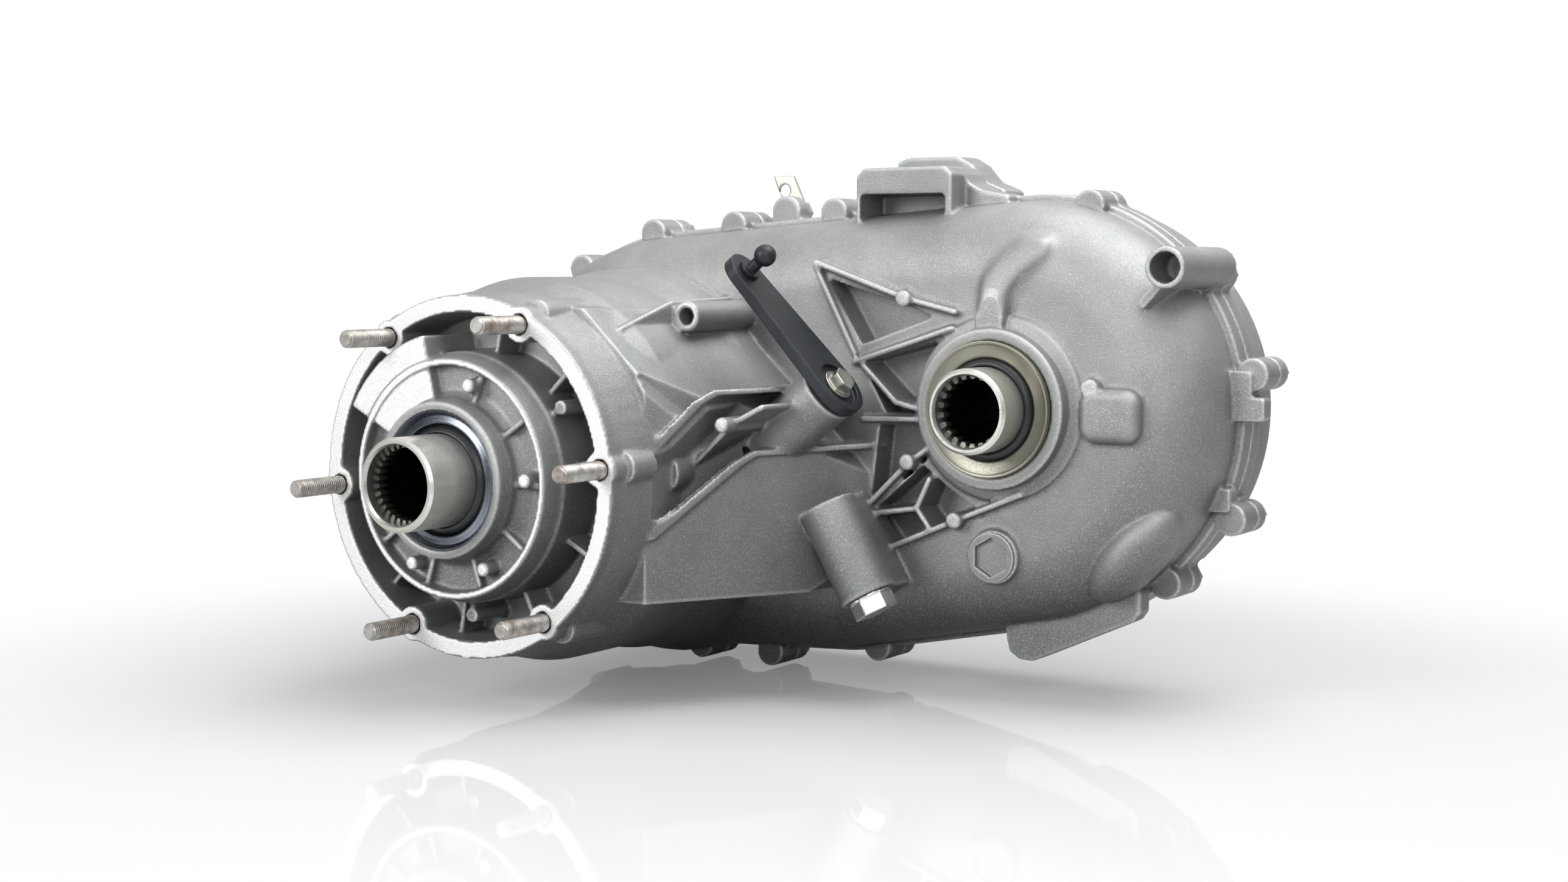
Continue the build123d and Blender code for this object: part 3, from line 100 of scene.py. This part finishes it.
def mix_colour(nodes, links, factor, first, second, kind="MIX"):
    node = nodes.new("ShaderNodeMix")
    node.data_type = "RGBA"
    node.blend_type = kind
    for socket, value in (("Factor", factor), ("A", first), ("B", second)):
        target = [s for s in node.inputs if s.name == socket and s.enabled][0]
        if hasattr(value, "links") or hasattr(value, "is_linked"):
            links.new(value, target)
        elif isinstance(value, tuple):
            target.default_value = (*value, 1.0)
        else:
            target.default_value = value
    return [s for s in node.outputs if s.name == "Result" and s.enabled][0]


def object_coords(nodes):
    return nodes.new("ShaderNodeTexCoord").outputs["Object"]


def math_node(nodes, links, kind, first, second=None, third=None):
    node = nodes.new("ShaderNodeMath")
    node.operation = kind
    for socket, value in zip(node.inputs, (first, second, third)):
        if value is None:
            continue
        if hasattr(value, "is_linked"):
            links.new(value, socket)
        else:
            socket.default_value = value
    return node.outputs[0]


def split(nodes, links, vector):
    """X, Y and Z outputs of a vector."""
    node = nodes.new("ShaderNodeSeparateXYZ")
    links.new(vector, node.inputs[0])
    return node.outputs


# Materials
# Distance behind the flange face, in metres, of each face that was milled flat, and how bright it is
MILLED = (
    (0.0, 1.0), (-0.0135, 1.0), (-0.0160, 1.0), (-0.0125, 1.0),
    (0.1490, 0.30), (0.0970, 0.55), (0.0620, 0.70),
)


MILLED_DEPTH = 0.0005
# Heights between which the painted shade on the low parts fades out, in metres
LOW_SHADE_BOTTOM = -0.09
LOW_SHADE_TOP = 0.07


def milled_mask(nodes, links, coords):
    """1 on the flat faces that were milled after casting, which all look forwards."""
    height = split(nodes, links, coords.outputs["Object"])["Y"]
    facing = split(nodes, links, coords.outputs["Normal"])["Y"]
    on_plane = 0.0
    for y, share in MILLED:
        here = math_node(nodes, links, "COMPARE", height, y, MILLED_DEPTH)
        on_plane = math_node(nodes, links, "MULTIPLY_ADD", here, share, on_plane)
    ahead = value_range(nodes, links, facing, -0.93, -0.985, 0.0, 1.0)
    return math_node(nodes, links, "MULTIPLY", math_node(nodes, links, "MINIMUM", on_plane, 1.0), ahead)


def low_shade(nodes, links, coords):
    """Painted shade: darker on the low parts and on the faces that look down."""
    height = split(nodes, links, coords.outputs["Object"])["Z"]
    facing = split(nodes, links, coords.outputs["Normal"])["Z"]
    low = value_range(nodes, links, height, LOW_SHADE_BOTTOM, LOW_SHADE_TOP, 0.0, 1.0)
    under = value_range(nodes, links, facing, -0.7, 0.25, 0.0, 1.0)
    share = math_node(nodes, links, "MULTIPLY", under, 0.45)
    share = math_node(nodes, links, "MULTIPLY_ADD", low, 0.55, share)
    return ramp(nodes, links, share, ((0.0, (0.27, 0.28, 0.31)), (1.0, (1.0, 1.0, 0.985))))


def cast_aluminium():
    material, nodes, links, shader = new_material("cast_aluminium")
    coords = nodes.new("ShaderNodeTexCoord")
    where = coords.outputs["Object"]
    cloud = noise(nodes, links, where, 14.0, 3.0)
    blotch = noise(nodes, links, where, 70.0, 4.0, 0.6)
    grain = noise(nodes, links, where, 1300.0, 3.0, 0.7)
    speck = noise(nodes, links, where, 1700.0, 1.5)
    shape = nodes.new("ShaderNodeNewGeometry").outputs["Pointiness"]
    tone = ramp(nodes, links, cloud, ((0.30, (0.30, 0.312, 0.312)), (0.70, (0.385, 0.398, 0.382))))
    patch = ramp(nodes, links, blotch, ((0.30, (0.88, 0.88, 0.89)), (0.70, (1.0, 1.0, 1.0))))
    tone = mix_colour(nodes, links, 1.0, tone, patch, "MULTIPLY")
    # Painted shade: creases and hollows, where pointiness is low, are made darker
    crease_shade = value_range(nodes, links, shape, 0.40, 0.495, 0.62, 1.0)
    shade = nodes.new("ShaderNodeCombineXYZ")
    for socket in shade.inputs:
        links.new(crease_shade, socket)
    tone = mix_colour(nodes, links, 1.0, tone, shade.outputs[0], "MULTIPLY")
    # Painted shade: the casting darkens towards the bottom and on faces that look down
    tone = mix_colour(nodes, links, 1.0, tone, low_shade(nodes, links, coords), "MULTIPLY")
    sparkle = value_range(nodes, links, speck, 0.56, 0.68, 0.0, 1.0)
    # Painted highlight: sharp edges are made lighter, together with the random bright specks of the grain
    edge = value_range(nodes, links, shape, 0.505, 0.56, 0.0, 1.0)
    edge_highlight_and_specks = math_node(nodes, links, "MULTIPLY", edge, value_range(nodes, links, grain, 0.35, 0.6, 0.35, 1.0))
    edge_highlight_and_specks = math_node(nodes, links, "MAXIMUM", edge_highlight_and_specks, math_node(nodes, links, "MULTIPLY", sparkle, 0.42))
    tone = mix_colour(nodes, links, edge_highlight_and_specks, tone, (0.68, 0.69, 0.68))
    milled = milled_mask(nodes, links, coords)
    fresh = ramp(nodes, links, speck, ((0.40, (0.66, 0.67, 0.67)), (0.56, (0.96, 0.96, 0.95))))
    tone = mix_colour(nodes, links, milled, tone, fresh)
    links.new(tone, shader.inputs["Base Color"])
    shader.inputs["Metallic"].default_value = 0.60
    rough = value_range(nodes, links, grain, 0.3, 0.7, 0.60, 0.38)
    links.new(math_node(nodes, links, "MULTIPLY_ADD", milled, -0.08, rough), shader.inputs["Roughness"])
    first = bump(nodes, links, blotch, 0.0006, 0.35)
    links.new(bump(nodes, links, grain, 0.00045, 0.55, first), shader.inputs["Normal"])
    return material


def turned_steel(name, dark, light, rough, metallic=1.0):
    """Machined steel with a faint grain and uneven sheen."""
    material, nodes, links, shader = new_material(name)
    where = object_coords(nodes)
    wide = noise(nodes, links, where, 35.0, 3.0)
    fine = noise(nodes, links, where, 900.0, 2.0)
    tone = ramp(nodes, links, wide, ((0.30, dark), (0.70, light)))
    links.new(tone, shader.inputs["Base Color"])
    shader.inputs["Metallic"].default_value = metallic
    sheen = value_range(nodes, links, fine, 0.3, 0.7, rough + 0.06, rough - 0.06)
    links.new(sheen, shader.inputs["Roughness"])
    links.new(bump(nodes, links, fine, 0.0001, 0.05), shader.inputs["Normal"])
    return material


# Axis (x, z), front face and widest radius of the bore of the two hubs, in metres
HUBS = (
    (0.0, 0.0, -0.0556, 0.0238),
    (OUTPUT.x, OUTPUT.z, 0.1174, 0.0217),
)


def shaft_steel():
    """Ground steel of the two hubs, with painted shade down in their bores that darkens with depth."""
    material = turned_steel("hub_steel", (0.56, 0.555, 0.51), (0.70, 0.695, 0.65), 0.33, metallic=0.80)
    nodes, links = material.node_tree.nodes, material.node_tree.links
    shader = nodes["Principled BSDF"]
    place = split(nodes, links, object_coords(nodes))
    dark = 0.0
    for x, z, front, radius in HUBS:
        across = math_node(nodes, links, "SUBTRACT", place["X"], x)
        upward = math_node(nodes, links, "SUBTRACT", place["Z"], z)
        square = math_node(nodes, links, "MULTIPLY", upward, upward)
        square = math_node(nodes, links, "MULTIPLY_ADD", across, across, square)
        inside = math_node(nodes, links, "LESS_THAN", math_node(nodes, links, "SQRT", square), radius)
        bore_shade_by_depth = value_range(nodes, links, place["Y"], front + 0.0015, front + 0.016, 0.25, 1.0)
        behind = math_node(nodes, links, "GREATER_THAN", place["Y"], front + 0.0012)
        share = math_node(nodes, links, "MULTIPLY", math_node(nodes, links, "MULTIPLY", inside, bore_shade_by_depth), behind)
        dark = math_node(nodes, links, "MAXIMUM", dark, share)
    tone = shader.inputs["Base Color"].links[0].from_socket
    # Painted shade: the bores turn near black further in from their front faces
    links.new(mix_colour(nodes, links, dark, tone, (0.016, 0.014, 0.012)), shader.inputs["Base Color"])
    return material


def dull_black(name, scale, dark, light, rough, strength):
    """Black rubber or plastic with a fine uneven sheen; rough is its roughness at both ends."""
    material, nodes, links, shader = new_material(name)
    grain = noise(nodes, links, object_coords(nodes), scale, 2.0)
    links.new(ramp(nodes, links, grain, ((0.3, dark), (0.7, light))), shader.inputs["Base Color"])
    links.new(value_range(nodes, links, grain, 0.3, 0.7, *rough), shader.inputs["Roughness"])
    links.new(bump(nodes, links, grain, 0.0001, strength), shader.inputs["Normal"])
    return material


def lever_black():
    """Black coat of the lever, a little metallic."""
    material, nodes, links, shader = new_material("black_lever")
    where = object_coords(nodes)
    wide = noise(nodes, links, where, 40.0, 4.0)
    fine = noise(nodes, links, where, 1400.0, 2.0)
    tone = ramp(nodes, links, wide, ((0.30, (0.016, 0.019, 0.023)), (0.70, (0.028, 0.032, 0.037))))
    links.new(tone, shader.inputs["Base Color"])
    shader.inputs["Metallic"].default_value = 0.35
    links.new(value_range(nodes, links, fine, 0.3, 0.7, 0.50, 0.36), shader.inputs["Roughness"])
    links.new(bump(nodes, links, fine, 0.0001, 0.3), shader.inputs["Normal"])
    return material


def stud_steel():
    """Plated studs whose threads have begun to rust."""
    material, nodes, links, shader = new_material("stud_steel")
    where = object_coords(nodes)
    patch = noise(nodes, links, where, 130.0, 4.0, 0.65)
    fine = noise(nodes, links, where, 1100.0, 2.0)
    tone = ramp(nodes, links, patch, (
        (0.40, (0.46, 0.455, 0.44)), (0.54, (0.37, 0.34, 0.31)), (0.72, (0.20, 0.14, 0.11)),
    ))
    links.new(tone, shader.inputs["Base Color"])
    links.new(value_range(nodes, links, patch, 0.42, 0.72, 0.92, 0.30), shader.inputs["Metallic"])
    links.new(value_range(nodes, links, fine, 0.3, 0.7, 0.50, 0.34), shader.inputs["Roughness"])
    links.new(bump(nodes, links, fine, 0.0001, 0.3), shader.inputs["Normal"])
    return material


LOOKS = {
    "cast_aluminium": cast_aluminium(),
    "machined_steel": turned_steel("machined_steel", (0.46, 0.45, 0.40), (0.60, 0.59, 0.54), 0.30),
    "gear_steel": turned_steel("gear_steel", (0.34, 0.335, 0.31), (0.46, 0.45, 0.42), 0.30),
    "hub_steel": shaft_steel(),
    "zinc_steel": turned_steel("zinc_steel", (0.44, 0.43, 0.38), (0.58, 0.57, 0.52), 0.36),
    "stud_steel": stud_steel(),
    "bright_steel": turned_steel("bright_steel", (0.66, 0.66, 0.65), (0.82, 0.82, 0.80), 0.24),
    "black_lever": lever_black(),
    "seal_rubber": dull_black(
        "seal_rubber", 700.0, (0.008, 0.009, 0.011), (0.018, 0.019, 0.022), (0.46, 0.34), 0.2,
    ),
    "bearing_bronze": turned_steel("bearing_bronze", (0.42, 0.27, 0.12), (0.58, 0.40, 0.20), 0.36),
    "chain_steel": turned_steel("chain_steel", (0.16, 0.15, 0.14), (0.26, 0.25, 0.24), 0.38),
    "black_plastic": dull_black(
        "black_plastic", 1200.0, (0.012, 0.012, 0.013), (0.022, 0.022, 0.024), (0.55, 0.42), 0.3,
    ),
    "seal_case": turned_steel("seal_case", (0.10, 0.11, 0.13), (0.17, 0.18, 0.21), 0.24),
    "tan_case": turned_steel("tan_case", (0.19, 0.185, 0.155), (0.25, 0.245, 0.205), 0.38),
    "magnet": turned_steel("magnet", (0.05, 0.05, 0.05), (0.09, 0.09, 0.09), 0.55, metallic=0.2),
}
HUB_NODES = ("input_gear", "front_output_shaft")
SLOTS = {part["node"]: part["material_slot"] for part in frame["record"]["subparts"]}
BODY_OF = {node: body for body, nodes in frame["record"]["behaviour"]["bodies"].items() for node in nodes}


def dress(thing, material):
    for slot in thing.material_slots:
        slot.link = "OBJECT"
        slot.material = material


for node, thing in frame["nodes"].items():
    dress(thing, LOOKS["hub_steel" if node in HUB_NODES else SLOTS[node]])


# Meshes
def link(thing):
    scene.collection.objects.link(thing)
    return thing


def mesh_points(mesh):
    points = np.empty(len(mesh.vertices) * 3, np.float32)
    mesh.vertices.foreach_get("co", points)
    return points.reshape(-1, 3)


def evaluated(thing):
    """Mesh of an object with its modifiers applied."""
    depsgraph = bpy.context.evaluated_depsgraph_get()
    return bpy.data.meshes.new_from_object(thing.evaluated_get(depsgraph))


def copy_of(node, name):
    """Copy of a node's mesh with its doubled points joined."""
    thing = bpy.data.objects.new(name, frame["nodes"][node].data.copy())
    link(thing)
    weld = thing.modifiers.new("weld", "WELD")
    weld.merge_threshold = 0.000002
    return thing


def from_quads(name, points, quads):
    """A smooth mesh of four-sided faces."""
    result = bpy.data.meshes.new(name)
    result.vertices.add(len(points))
    result.vertices.foreach_set("co", np.ascontiguousarray(points, np.float32).ravel())
    result.loops.add(quads.size)
    result.loops.foreach_set("vertex_index", quads.astype(np.int32).ravel())
    result.polygons.add(len(quads))
    result.polygons.foreach_set("loop_start", np.arange(0, quads.size, 4, dtype=np.int32))
    result.polygons.foreach_set("use_smooth", np.ones(len(quads), bool))
    result.update(calc_edges=True)
    return result


def grid_quads(rows, columns):
    """Faces of a grid of points whose columns close on themselves."""
    row, column = np.meshgrid(np.arange(rows - 1), np.arange(columns), indexing="ij")
    after = (column + 1) % columns
    here, beyond = row * columns, (row + 1) * columns
    return np.stack((here + column, here + after, beyond + after, beyond + column), axis=-1).reshape(-1, 4)


def lathe(name, profile, centre, steps=96):
    """A profile of (radius, y) points in millimetres, turned round an axis along Y."""
    profile = np.array(profile, float) / 1000
    angles = np.linspace(0, 2 * math.pi, steps, endpoint=False)
    radius, along = profile[:, :1], profile[:, 1:]
    points = np.stack((
        centre[0] + radius * np.cos(angles), np.broadcast_to(along, (len(profile), steps)),
        centre[1] + radius * np.sin(angles),
    ), axis=-1).reshape(-1, 3)
    return from_quads(name, points, grid_quads(len(profile), steps))


def place(name, mesh, look, nodes, slot_name, sharp=None):
    """Put a piece in the scene in the place of one or more nodes."""
    thing = link(bpy.data.objects.new(name, mesh))
    mesh.materials.clear()
    mesh.materials.append(LOOKS[look])
    if sharp is not None:
        mesh.set_sharp_from_angle(angle=math.radians(sharp))
    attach(thing, BODY_OF[nodes[0]])
    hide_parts(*nodes)


def remeshed(thing, voxel, rounds):
    """Closed mesh of even faces with its edges rounded; the object that it came from goes."""
    remesh = thing.modifiers.new("remesh", "REMESH")
    remesh.mode = "VOXEL"
    remesh.voxel_size = voxel
    smooth = thing.modifiers.new("smooth", "SMOOTH")
    smooth.factor = 0.5
    smooth.iterations = rounds
    mesh = evaluated(thing)
    bpy.data.objects.remove(thing)
    return mesh


# Castings
VOXEL = 0.0011
REAR_VOXEL = VOXEL * 1.3
SOFT_ROUNDS = 40
SOFT_LEVELS = 5
# Boxes of the front casting that are softened further: low corner, high corner and fade, in metres
HUMP_BOX = ((0.228, 0.140, 0.089), (0.290, 0.170, 0.155), 0.006)
BULGE_BOX = ((0.280, 0.140, -0.080), (0.360, 0.190, 0.008), 0.008)
POD_BOX = ((0.085, 0.010, -0.110), (0.172, 0.118, -0.042), 0.008)


def swelling(centre, half, tilt):
    """Matrix of an egg-shaped swelling that leans by an angle seen from the front."""
    turn = Matrix.Rotation(math.radians(-tilt), 4, "Y")
    return Matrix.Translation(centre) @ turn @ Matrix.Diagonal((*half, 1.0))


def soften(mesh, low, high, fade):
    """Smooth a mesh by many rounds inside a box, less and less towards its sides."""
    thing = link(bpy.data.objects.new("soften", mesh))
    points = mesh_points(mesh)
    inside = np.minimum((points - np.array(low)).min(axis=1), (np.array(high) - points).min(axis=1))
    weight = np.clip(inside / fade, 0.0, 1.0)
    group = thing.vertex_groups.new(name="soft")
    for level in range(1, SOFT_LEVELS + 1):
        chosen = np.nonzero(np.round(weight * SOFT_LEVELS) == level)[0]
        if len(chosen):
            group.add(chosen.tolist(), level / SOFT_LEVELS, "REPLACE")
    smooth = thing.modifiers.new("soften", "SMOOTH")
    smooth.factor = 0.5
    smooth.iterations = SOFT_ROUNDS
    smooth.vertex_group = "soft"
    result = evaluated(thing)
    bpy.data.objects.remove(thing)
    return result


def casting(node, voxel, rounds, extra=(), soft=()):
    """Casting with the small fillets that a mould leaves on every edge."""
    thing = copy_of(node, node + "_rough")
    if extra:
        shape = bmesh.new()
        shape.from_mesh(thing.data)
        for matrix in extra:
            bmesh.ops.create_uvsphere(shape, u_segments=48, v_segments=24, radius=1.0, matrix=matrix)
        shape.to_mesh(thing.data)
        shape.free()
    mesh = remeshed(thing, voxel, rounds)
    for low, high, fade in soft:
        mesh = soften(mesh, low, high, fade)
    mesh.shade_smooth()
    place(node + "_skin", mesh, SLOTS[node], [node], SLOTS[node])


# Swelling low on the shoulder of the dome, which the solids leave out
BULGE = swelling((0.3190, 0.1800, -0.0375), (0.036, 0.024, 0.0165), 48.0)
casting("front_case", VOXEL, 3, (BULGE,), (HUMP_BOX, BULGE_BOX, POD_BOX))
casting("rear_case", REAR_VOXEL, 3)
casting("rear_extension", REAR_VOXEL, 3)


# Small pieces
def fine(node, voxel, rounds, look=None, move=None):
    """Small piece whose worn edges come from a fine remesh."""
    thing = copy_of(node, node + "_fine")
    if move is not None:
        thing.data.vertices.foreach_set("co", move(mesh_points(thing.data)).astype(np.float32).ravel())
    mesh = remeshed(thing, voxel * (1), rounds)
    mesh.shade_smooth()
    place(node + "_skin", mesh, look or SLOTS[node], [node], SLOTS[node])


# Lever: rise of its shaft and its own lean in degrees, the rest in metres
SHAFT_RISE = 38.0
LEVER_LEAN = 12.8
LEVER_ALONG_SHAFT = 0.160
LEVER_OFF_SHAFT = -0.063
LEVER_Y = 0.118
LEVER_LENGTH = 0.080
LEVER_SPREAD = 1.07


def broad_lever(points):
    """The lever is broader than its bare plate: every point moves away from its middle line."""
    rise, lean = math.radians(SHAFT_RISE), math.radians(LEVER_LEAN)
    out = np.array((math.cos(rise), 0.0, math.sin(rise)))
    up = np.array((-math.sin(rise), 0.0, math.cos(rise)))
    ahead = np.cross(out, up)
    along = math.cos(lean) * up + math.sin(lean) * ahead
    side = np.cross(out, along)
    foot = LEVER_ALONG_SHAFT * out + LEVER_OFF_SHAFT * up + np.array((0.0, LEVER_Y, 0.0))
    u, v = (points - foot) @ along, (points - foot) @ side
    share = LEVER_SPREAD - 1.0
    more_u = np.where(u < 0, u, np.maximum(u - LEVER_LENGTH, 0.0)) * share
    return points + more_u[:, None] * along + (v * share)[:, None] * side


# Studs: sizes in metres, and the angle of the first in degrees
STUD_PITCH = 0.00150
STUD_THREAD = 0.00042
STUD_RADIUS = 0.005
STUD_ROOT = 0.0046
STUD_TIP = -0.0355
STUD_FOOT = 0.0175
STUD_LEAD = 0.0016
STUD_CIRCLE = 0.0927
STUD_FIRST = 24.65


def threaded_studs():
    """Six studs whose standing ends carry a real thread."""
    columns = 40
    rows = np.concatenate((
        np.linspace(STUD_TIP, STUD_TIP + STUD_LEAD, 8)[:-1], np.arange(STUD_TIP + STUD_LEAD, 0.0006, 0.00015),
        [STUD_FOOT],
    ))
    angles = np.linspace(0, 2 * math.pi, columns, endpoint=False)
    along, turn = np.meshgrid(rows, angles, indexing="ij")
    phase = np.abs(((along / STUD_PITCH - turn / (2 * math.pi)) % 1.0) * 2 - 1)
    groove = STUD_THREAD * np.clip(1.25 * phase - 0.12, 0.0, 1.0)
    lead = np.clip((along - STUD_TIP) / STUD_LEAD, 0.0, 1.0)
    around = STUD_RADIUS - 0.0013 * (1 - lead) - groove * lead
    around[along > 0.0005] = STUD_ROOT
    verts, faces, first = [], [], 0
    for k in range(6):
        angle = math.radians(STUD_FIRST + 60 * k)
        x, z = STUD_CIRCLE * math.sin(angle), STUD_CIRCLE * math.cos(angle)
        body = np.stack((x + around * np.cos(turn + k), along, z + around * np.sin(turn + k)), axis=-1)
        cap = np.broadcast_to(np.array((x, STUD_TIP, z)), (1, columns, 3))
        points = np.concatenate((cap, body, cap + np.array((0.0, STUD_FOOT - STUD_TIP, 0.0))), axis=0)
        verts.append(points.reshape(-1, 3))
        faces.append(grid_quads(len(points), columns) + first)
        first += points.shape[0] * columns
    mesh = from_quads("flange_studs_skin", np.concatenate(verts), np.concatenate(faces))
    place("flange_studs_skin", mesh, "stud_steel", ["flange_studs"], SLOTS["flange_studs"], 40.0)


threaded_studs()

# Seals: a pressed case and a rubber lip, as (radius, y) profiles in millimetres
INPUT_CASE = (
    (29.5, -16.6), (31.0, -19.4), (32.0, -19.6), (33.4, -18.6), (35.2, -18.4), (36.0, -19.6), (37.2, -21.3),
    (38.0, -21.3), (38.1, -20.8), (38.1, -11.0), (36.8, -11.0), (36.8, -14.5), (29.5, -14.5), (29.5, -16.6),
)
INPUT_LIP = (
    (29.9, -16.0), (29.6, -17.6), (28.2, -18.8), (27.0, -20.4), (26.2, -20.6), (25.8, -19.8), (25.7, -18.0),
    (25.8, -12.0), (27.6, -11.6), (29.9, -14.0), (29.9, -16.0),
)
OUTPUT_CASE = (
    (27.6, 142.8), (28.4, 141.4), (29.6, 141.1), (34.6, 141.1), (35.6, 140.4), (36.4, 140.1), (37.1, 140.2),
    (37.3, 140.6), (37.3, 149.8), (36.0, 149.8), (36.0, 143.4), (27.6, 144.6), (27.6, 142.8),
)
OUTPUT_LIP = (
    (28.0, 143.4), (27.4, 141.4), (26.4, 140.2), (25.2, 139.4), (24.2, 139.5), (23.6, 140.4), (23.5, 142.0),
    (23.6, 148.6), (25.4, 149.0), (28.0, 145.4), (28.0, 143.4),
)


def lip_seal(node, case, lip, centre, case_look):
    """Pressed case and rubber lip of a seal, turned round one axis."""
    metal = lathe(node + "_case", case, centre)
    place(node + "_case", metal, case_look, [node], SLOTS[node], 50.0)
    rubber_ring = lathe(node + "_lip", lip, centre)
    place(node + "_lip", rubber_ring, "seal_rubber", [node], SLOTS[node], 60.0)


lip_seal("input_seal", INPUT_CASE, INPUT_LIP, (0.0, 0.0), "seal_case")
lip_seal("front_output_seal", OUTPUT_CASE, OUTPUT_LIP, (OUTPUT.x, OUTPUT.z), "tan_case")

fine("shift_lever", 0.00045, 3, move=broad_lever)
fine("ball_stud", 0.00028, 2, "black_lever")
fine("lever_bolt", 0.00026, 2)
fine("drain_plug", 0.00045, 2)
fine("fill_plug", 0.00045, 2)
fine("harness_bracket", 0.00040, 2)
fine("bracket_bolt", 0.00040, 2)
fine("case_bolts", 0.00060, 1)
fine("extension_bolts", 0.00060, 1)

# Camera: the photograph's frame is 2576 pixels wide, and its focal length 3721.54 of them
SENSOR = 36.0
camera_data = bpy.data.cameras.new("camera")
camera_data.sensor_fit = "HORIZONTAL"
camera_data.sensor_width = SENSOR
camera_data.lens = 3721.54 / 2576 * SENSOR
camera_data.clip_start = 0.01
camera_data.clip_end = 100.0
camera = link(bpy.data.objects.new("camera", camera_data))
right = Vector((0.84552718, 0.53392634, 0.00254061))
up = Vector((-0.04326231, 0.0637661, 0.99702671))
ahead = Vector((-0.53217681, 0.84312309, -0.07701486))
turn = Matrix((right, up, -ahead)).transposed().to_4x4()
camera.matrix_world = Matrix.Translation((0.80744, -0.95111, 0.11591)) @ turn
scene.camera = camera

# Light
world = bpy.data.worlds.new("studio")
scene.world = world
world.use_nodes = True
nodes, links = world.node_tree.nodes, world.node_tree.links
nodes.clear()
output = nodes.new("ShaderNodeOutputWorld")
light_back = nodes.new("ShaderNodeBackground")
seen_back = nodes.new("ShaderNodeBackground")
light_back.inputs["Color"].default_value = (0.93, 0.96, 1.0, 1.0)
light_back.inputs["Strength"].default_value = 0.20
seen_back.inputs["Color"].default_value = (1.0, 1.0, 1.0, 1.0)
path = nodes.new("ShaderNodeLightPath")
sky = split(nodes, links, nodes.new("ShaderNodeTexCoord").outputs["Generated"])
direct, glossy, through = (path.outputs[f"Is {kind} Ray"] for kind in ("Camera", "Glossy", "Transmission"))
height = value_range(nodes, links, sky["Z"], 0.05, 0.80, 0.26, 1.0)
links.new(math_node(nodes, links, "MAXIMUM", height, direct), seen_back.inputs["Strength"])
mix = nodes.new("ShaderNodeMixShader")
mirrored = math_node(nodes, links, "MAXIMUM", glossy, through)
links.new(math_node(nodes, links, "MAXIMUM", direct, mirrored), mix.inputs[0])
links.new(light_back.outputs[0], mix.inputs[1])
links.new(seen_back.outputs[0], mix.inputs[2])
links.new(mix.outputs[0], output.inputs["Surface"])


def softbox(name, place, target, size, power):
    """Soft lamp of a size in metres and a power in watts that looks at a target."""
    data = bpy.data.lights.new(name, "AREA")
    data.shape = "RECTANGLE"
    data.size, data.size_y = size
    data.energy = power
    lamp = link(bpy.data.objects.new(name, data))
    lamp.location = place
    lamp.rotation_euler = (Vector(target) - Vector(place)).to_track_quat("-Z", "Y").to_euler()


softbox("top_light", (0.60, 0.30, 1.35), (0.20, 0.15, 0.0), (1.5, 1.2), 23.0)
softbox("front_left_light", (-0.70, -1.70, 0.75), (0.05, 0.0, 0.02), (0.9, 0.9), 24.0)
softbox("right_light", (1.20, -1.35, 0.70), (0.30, 0.15, 0.05), (0.9, 0.9), 10.0)

# Floor: white for the camera beyond a blend that starts and ends at these distances, in metres
FLOOR_SIDE = 12.0
BLEND_START = 0.24
BLEND_END = 0.64
BLEND_CENTRE = (0.13, 0.15, FLOOR_Z)
floor_mesh = bpy.data.meshes.new("floor")
corners = [(x * FLOOR_SIDE, y * FLOOR_SIDE, FLOOR_Z) for x, y in ((-1, -1), (1, -1), (1, 1), (-1, 1))]
floor_mesh.from_pydata(corners, [], [(0, 1, 2, 3)])
floor = link(bpy.data.objects.new("floor", floor_mesh))
material, nodes, links, shader = new_material("floor")
shader.inputs["Roughness"].default_value = 0.04
shader.inputs["Specular IOR Level"].default_value = 0.8
glow = nodes.new("ShaderNodeEmission")
glow.inputs["Color"].default_value = (1.0, 1.0, 1.0, 1.0)
spot = nodes.new("ShaderNodeVectorMath")
spot.operation = "DISTANCE"
links.new(object_coords(nodes), spot.inputs[0])
spot.inputs[1].default_value = BLEND_CENTRE
away = nodes.new("ShaderNodeMapRange")
away.interpolation_type = "SMOOTHSTEP"
for socket, number in (("From Min", BLEND_START), ("From Max", BLEND_END), ("To Min", 0.14), ("To Max", 1.0)):
    away.inputs[socket].default_value = number
links.new(spot.outputs["Value"], away.inputs["Value"])
seen = nodes.new("ShaderNodeLightPath")
blend = nodes.new("ShaderNodeMixShader")
white = math_node(nodes, links, "MULTIPLY", away.outputs["Result"], seen.outputs["Is Camera Ray"])
links.new(white, blend.inputs[0])
links.new(shader.outputs[0], blend.inputs[1])
links.new(glow.outputs[0], blend.inputs[2])
links.new(blend.outputs[0], nodes["Material Output"].inputs["Surface"])
clear_ray = math_node(nodes, links, "SUBTRACT", 1.0, seen.outputs["Is Diffuse Ray"])
tone = mix_colour(nodes, links, clear_ray, (0.22, 0.22, 0.225), (0.95, 0.95, 0.95))
links.new(tone, shader.inputs["Base Color"])
floor_mesh.materials.append(material)

# View
scene.view_settings.view_transform = "Standard"
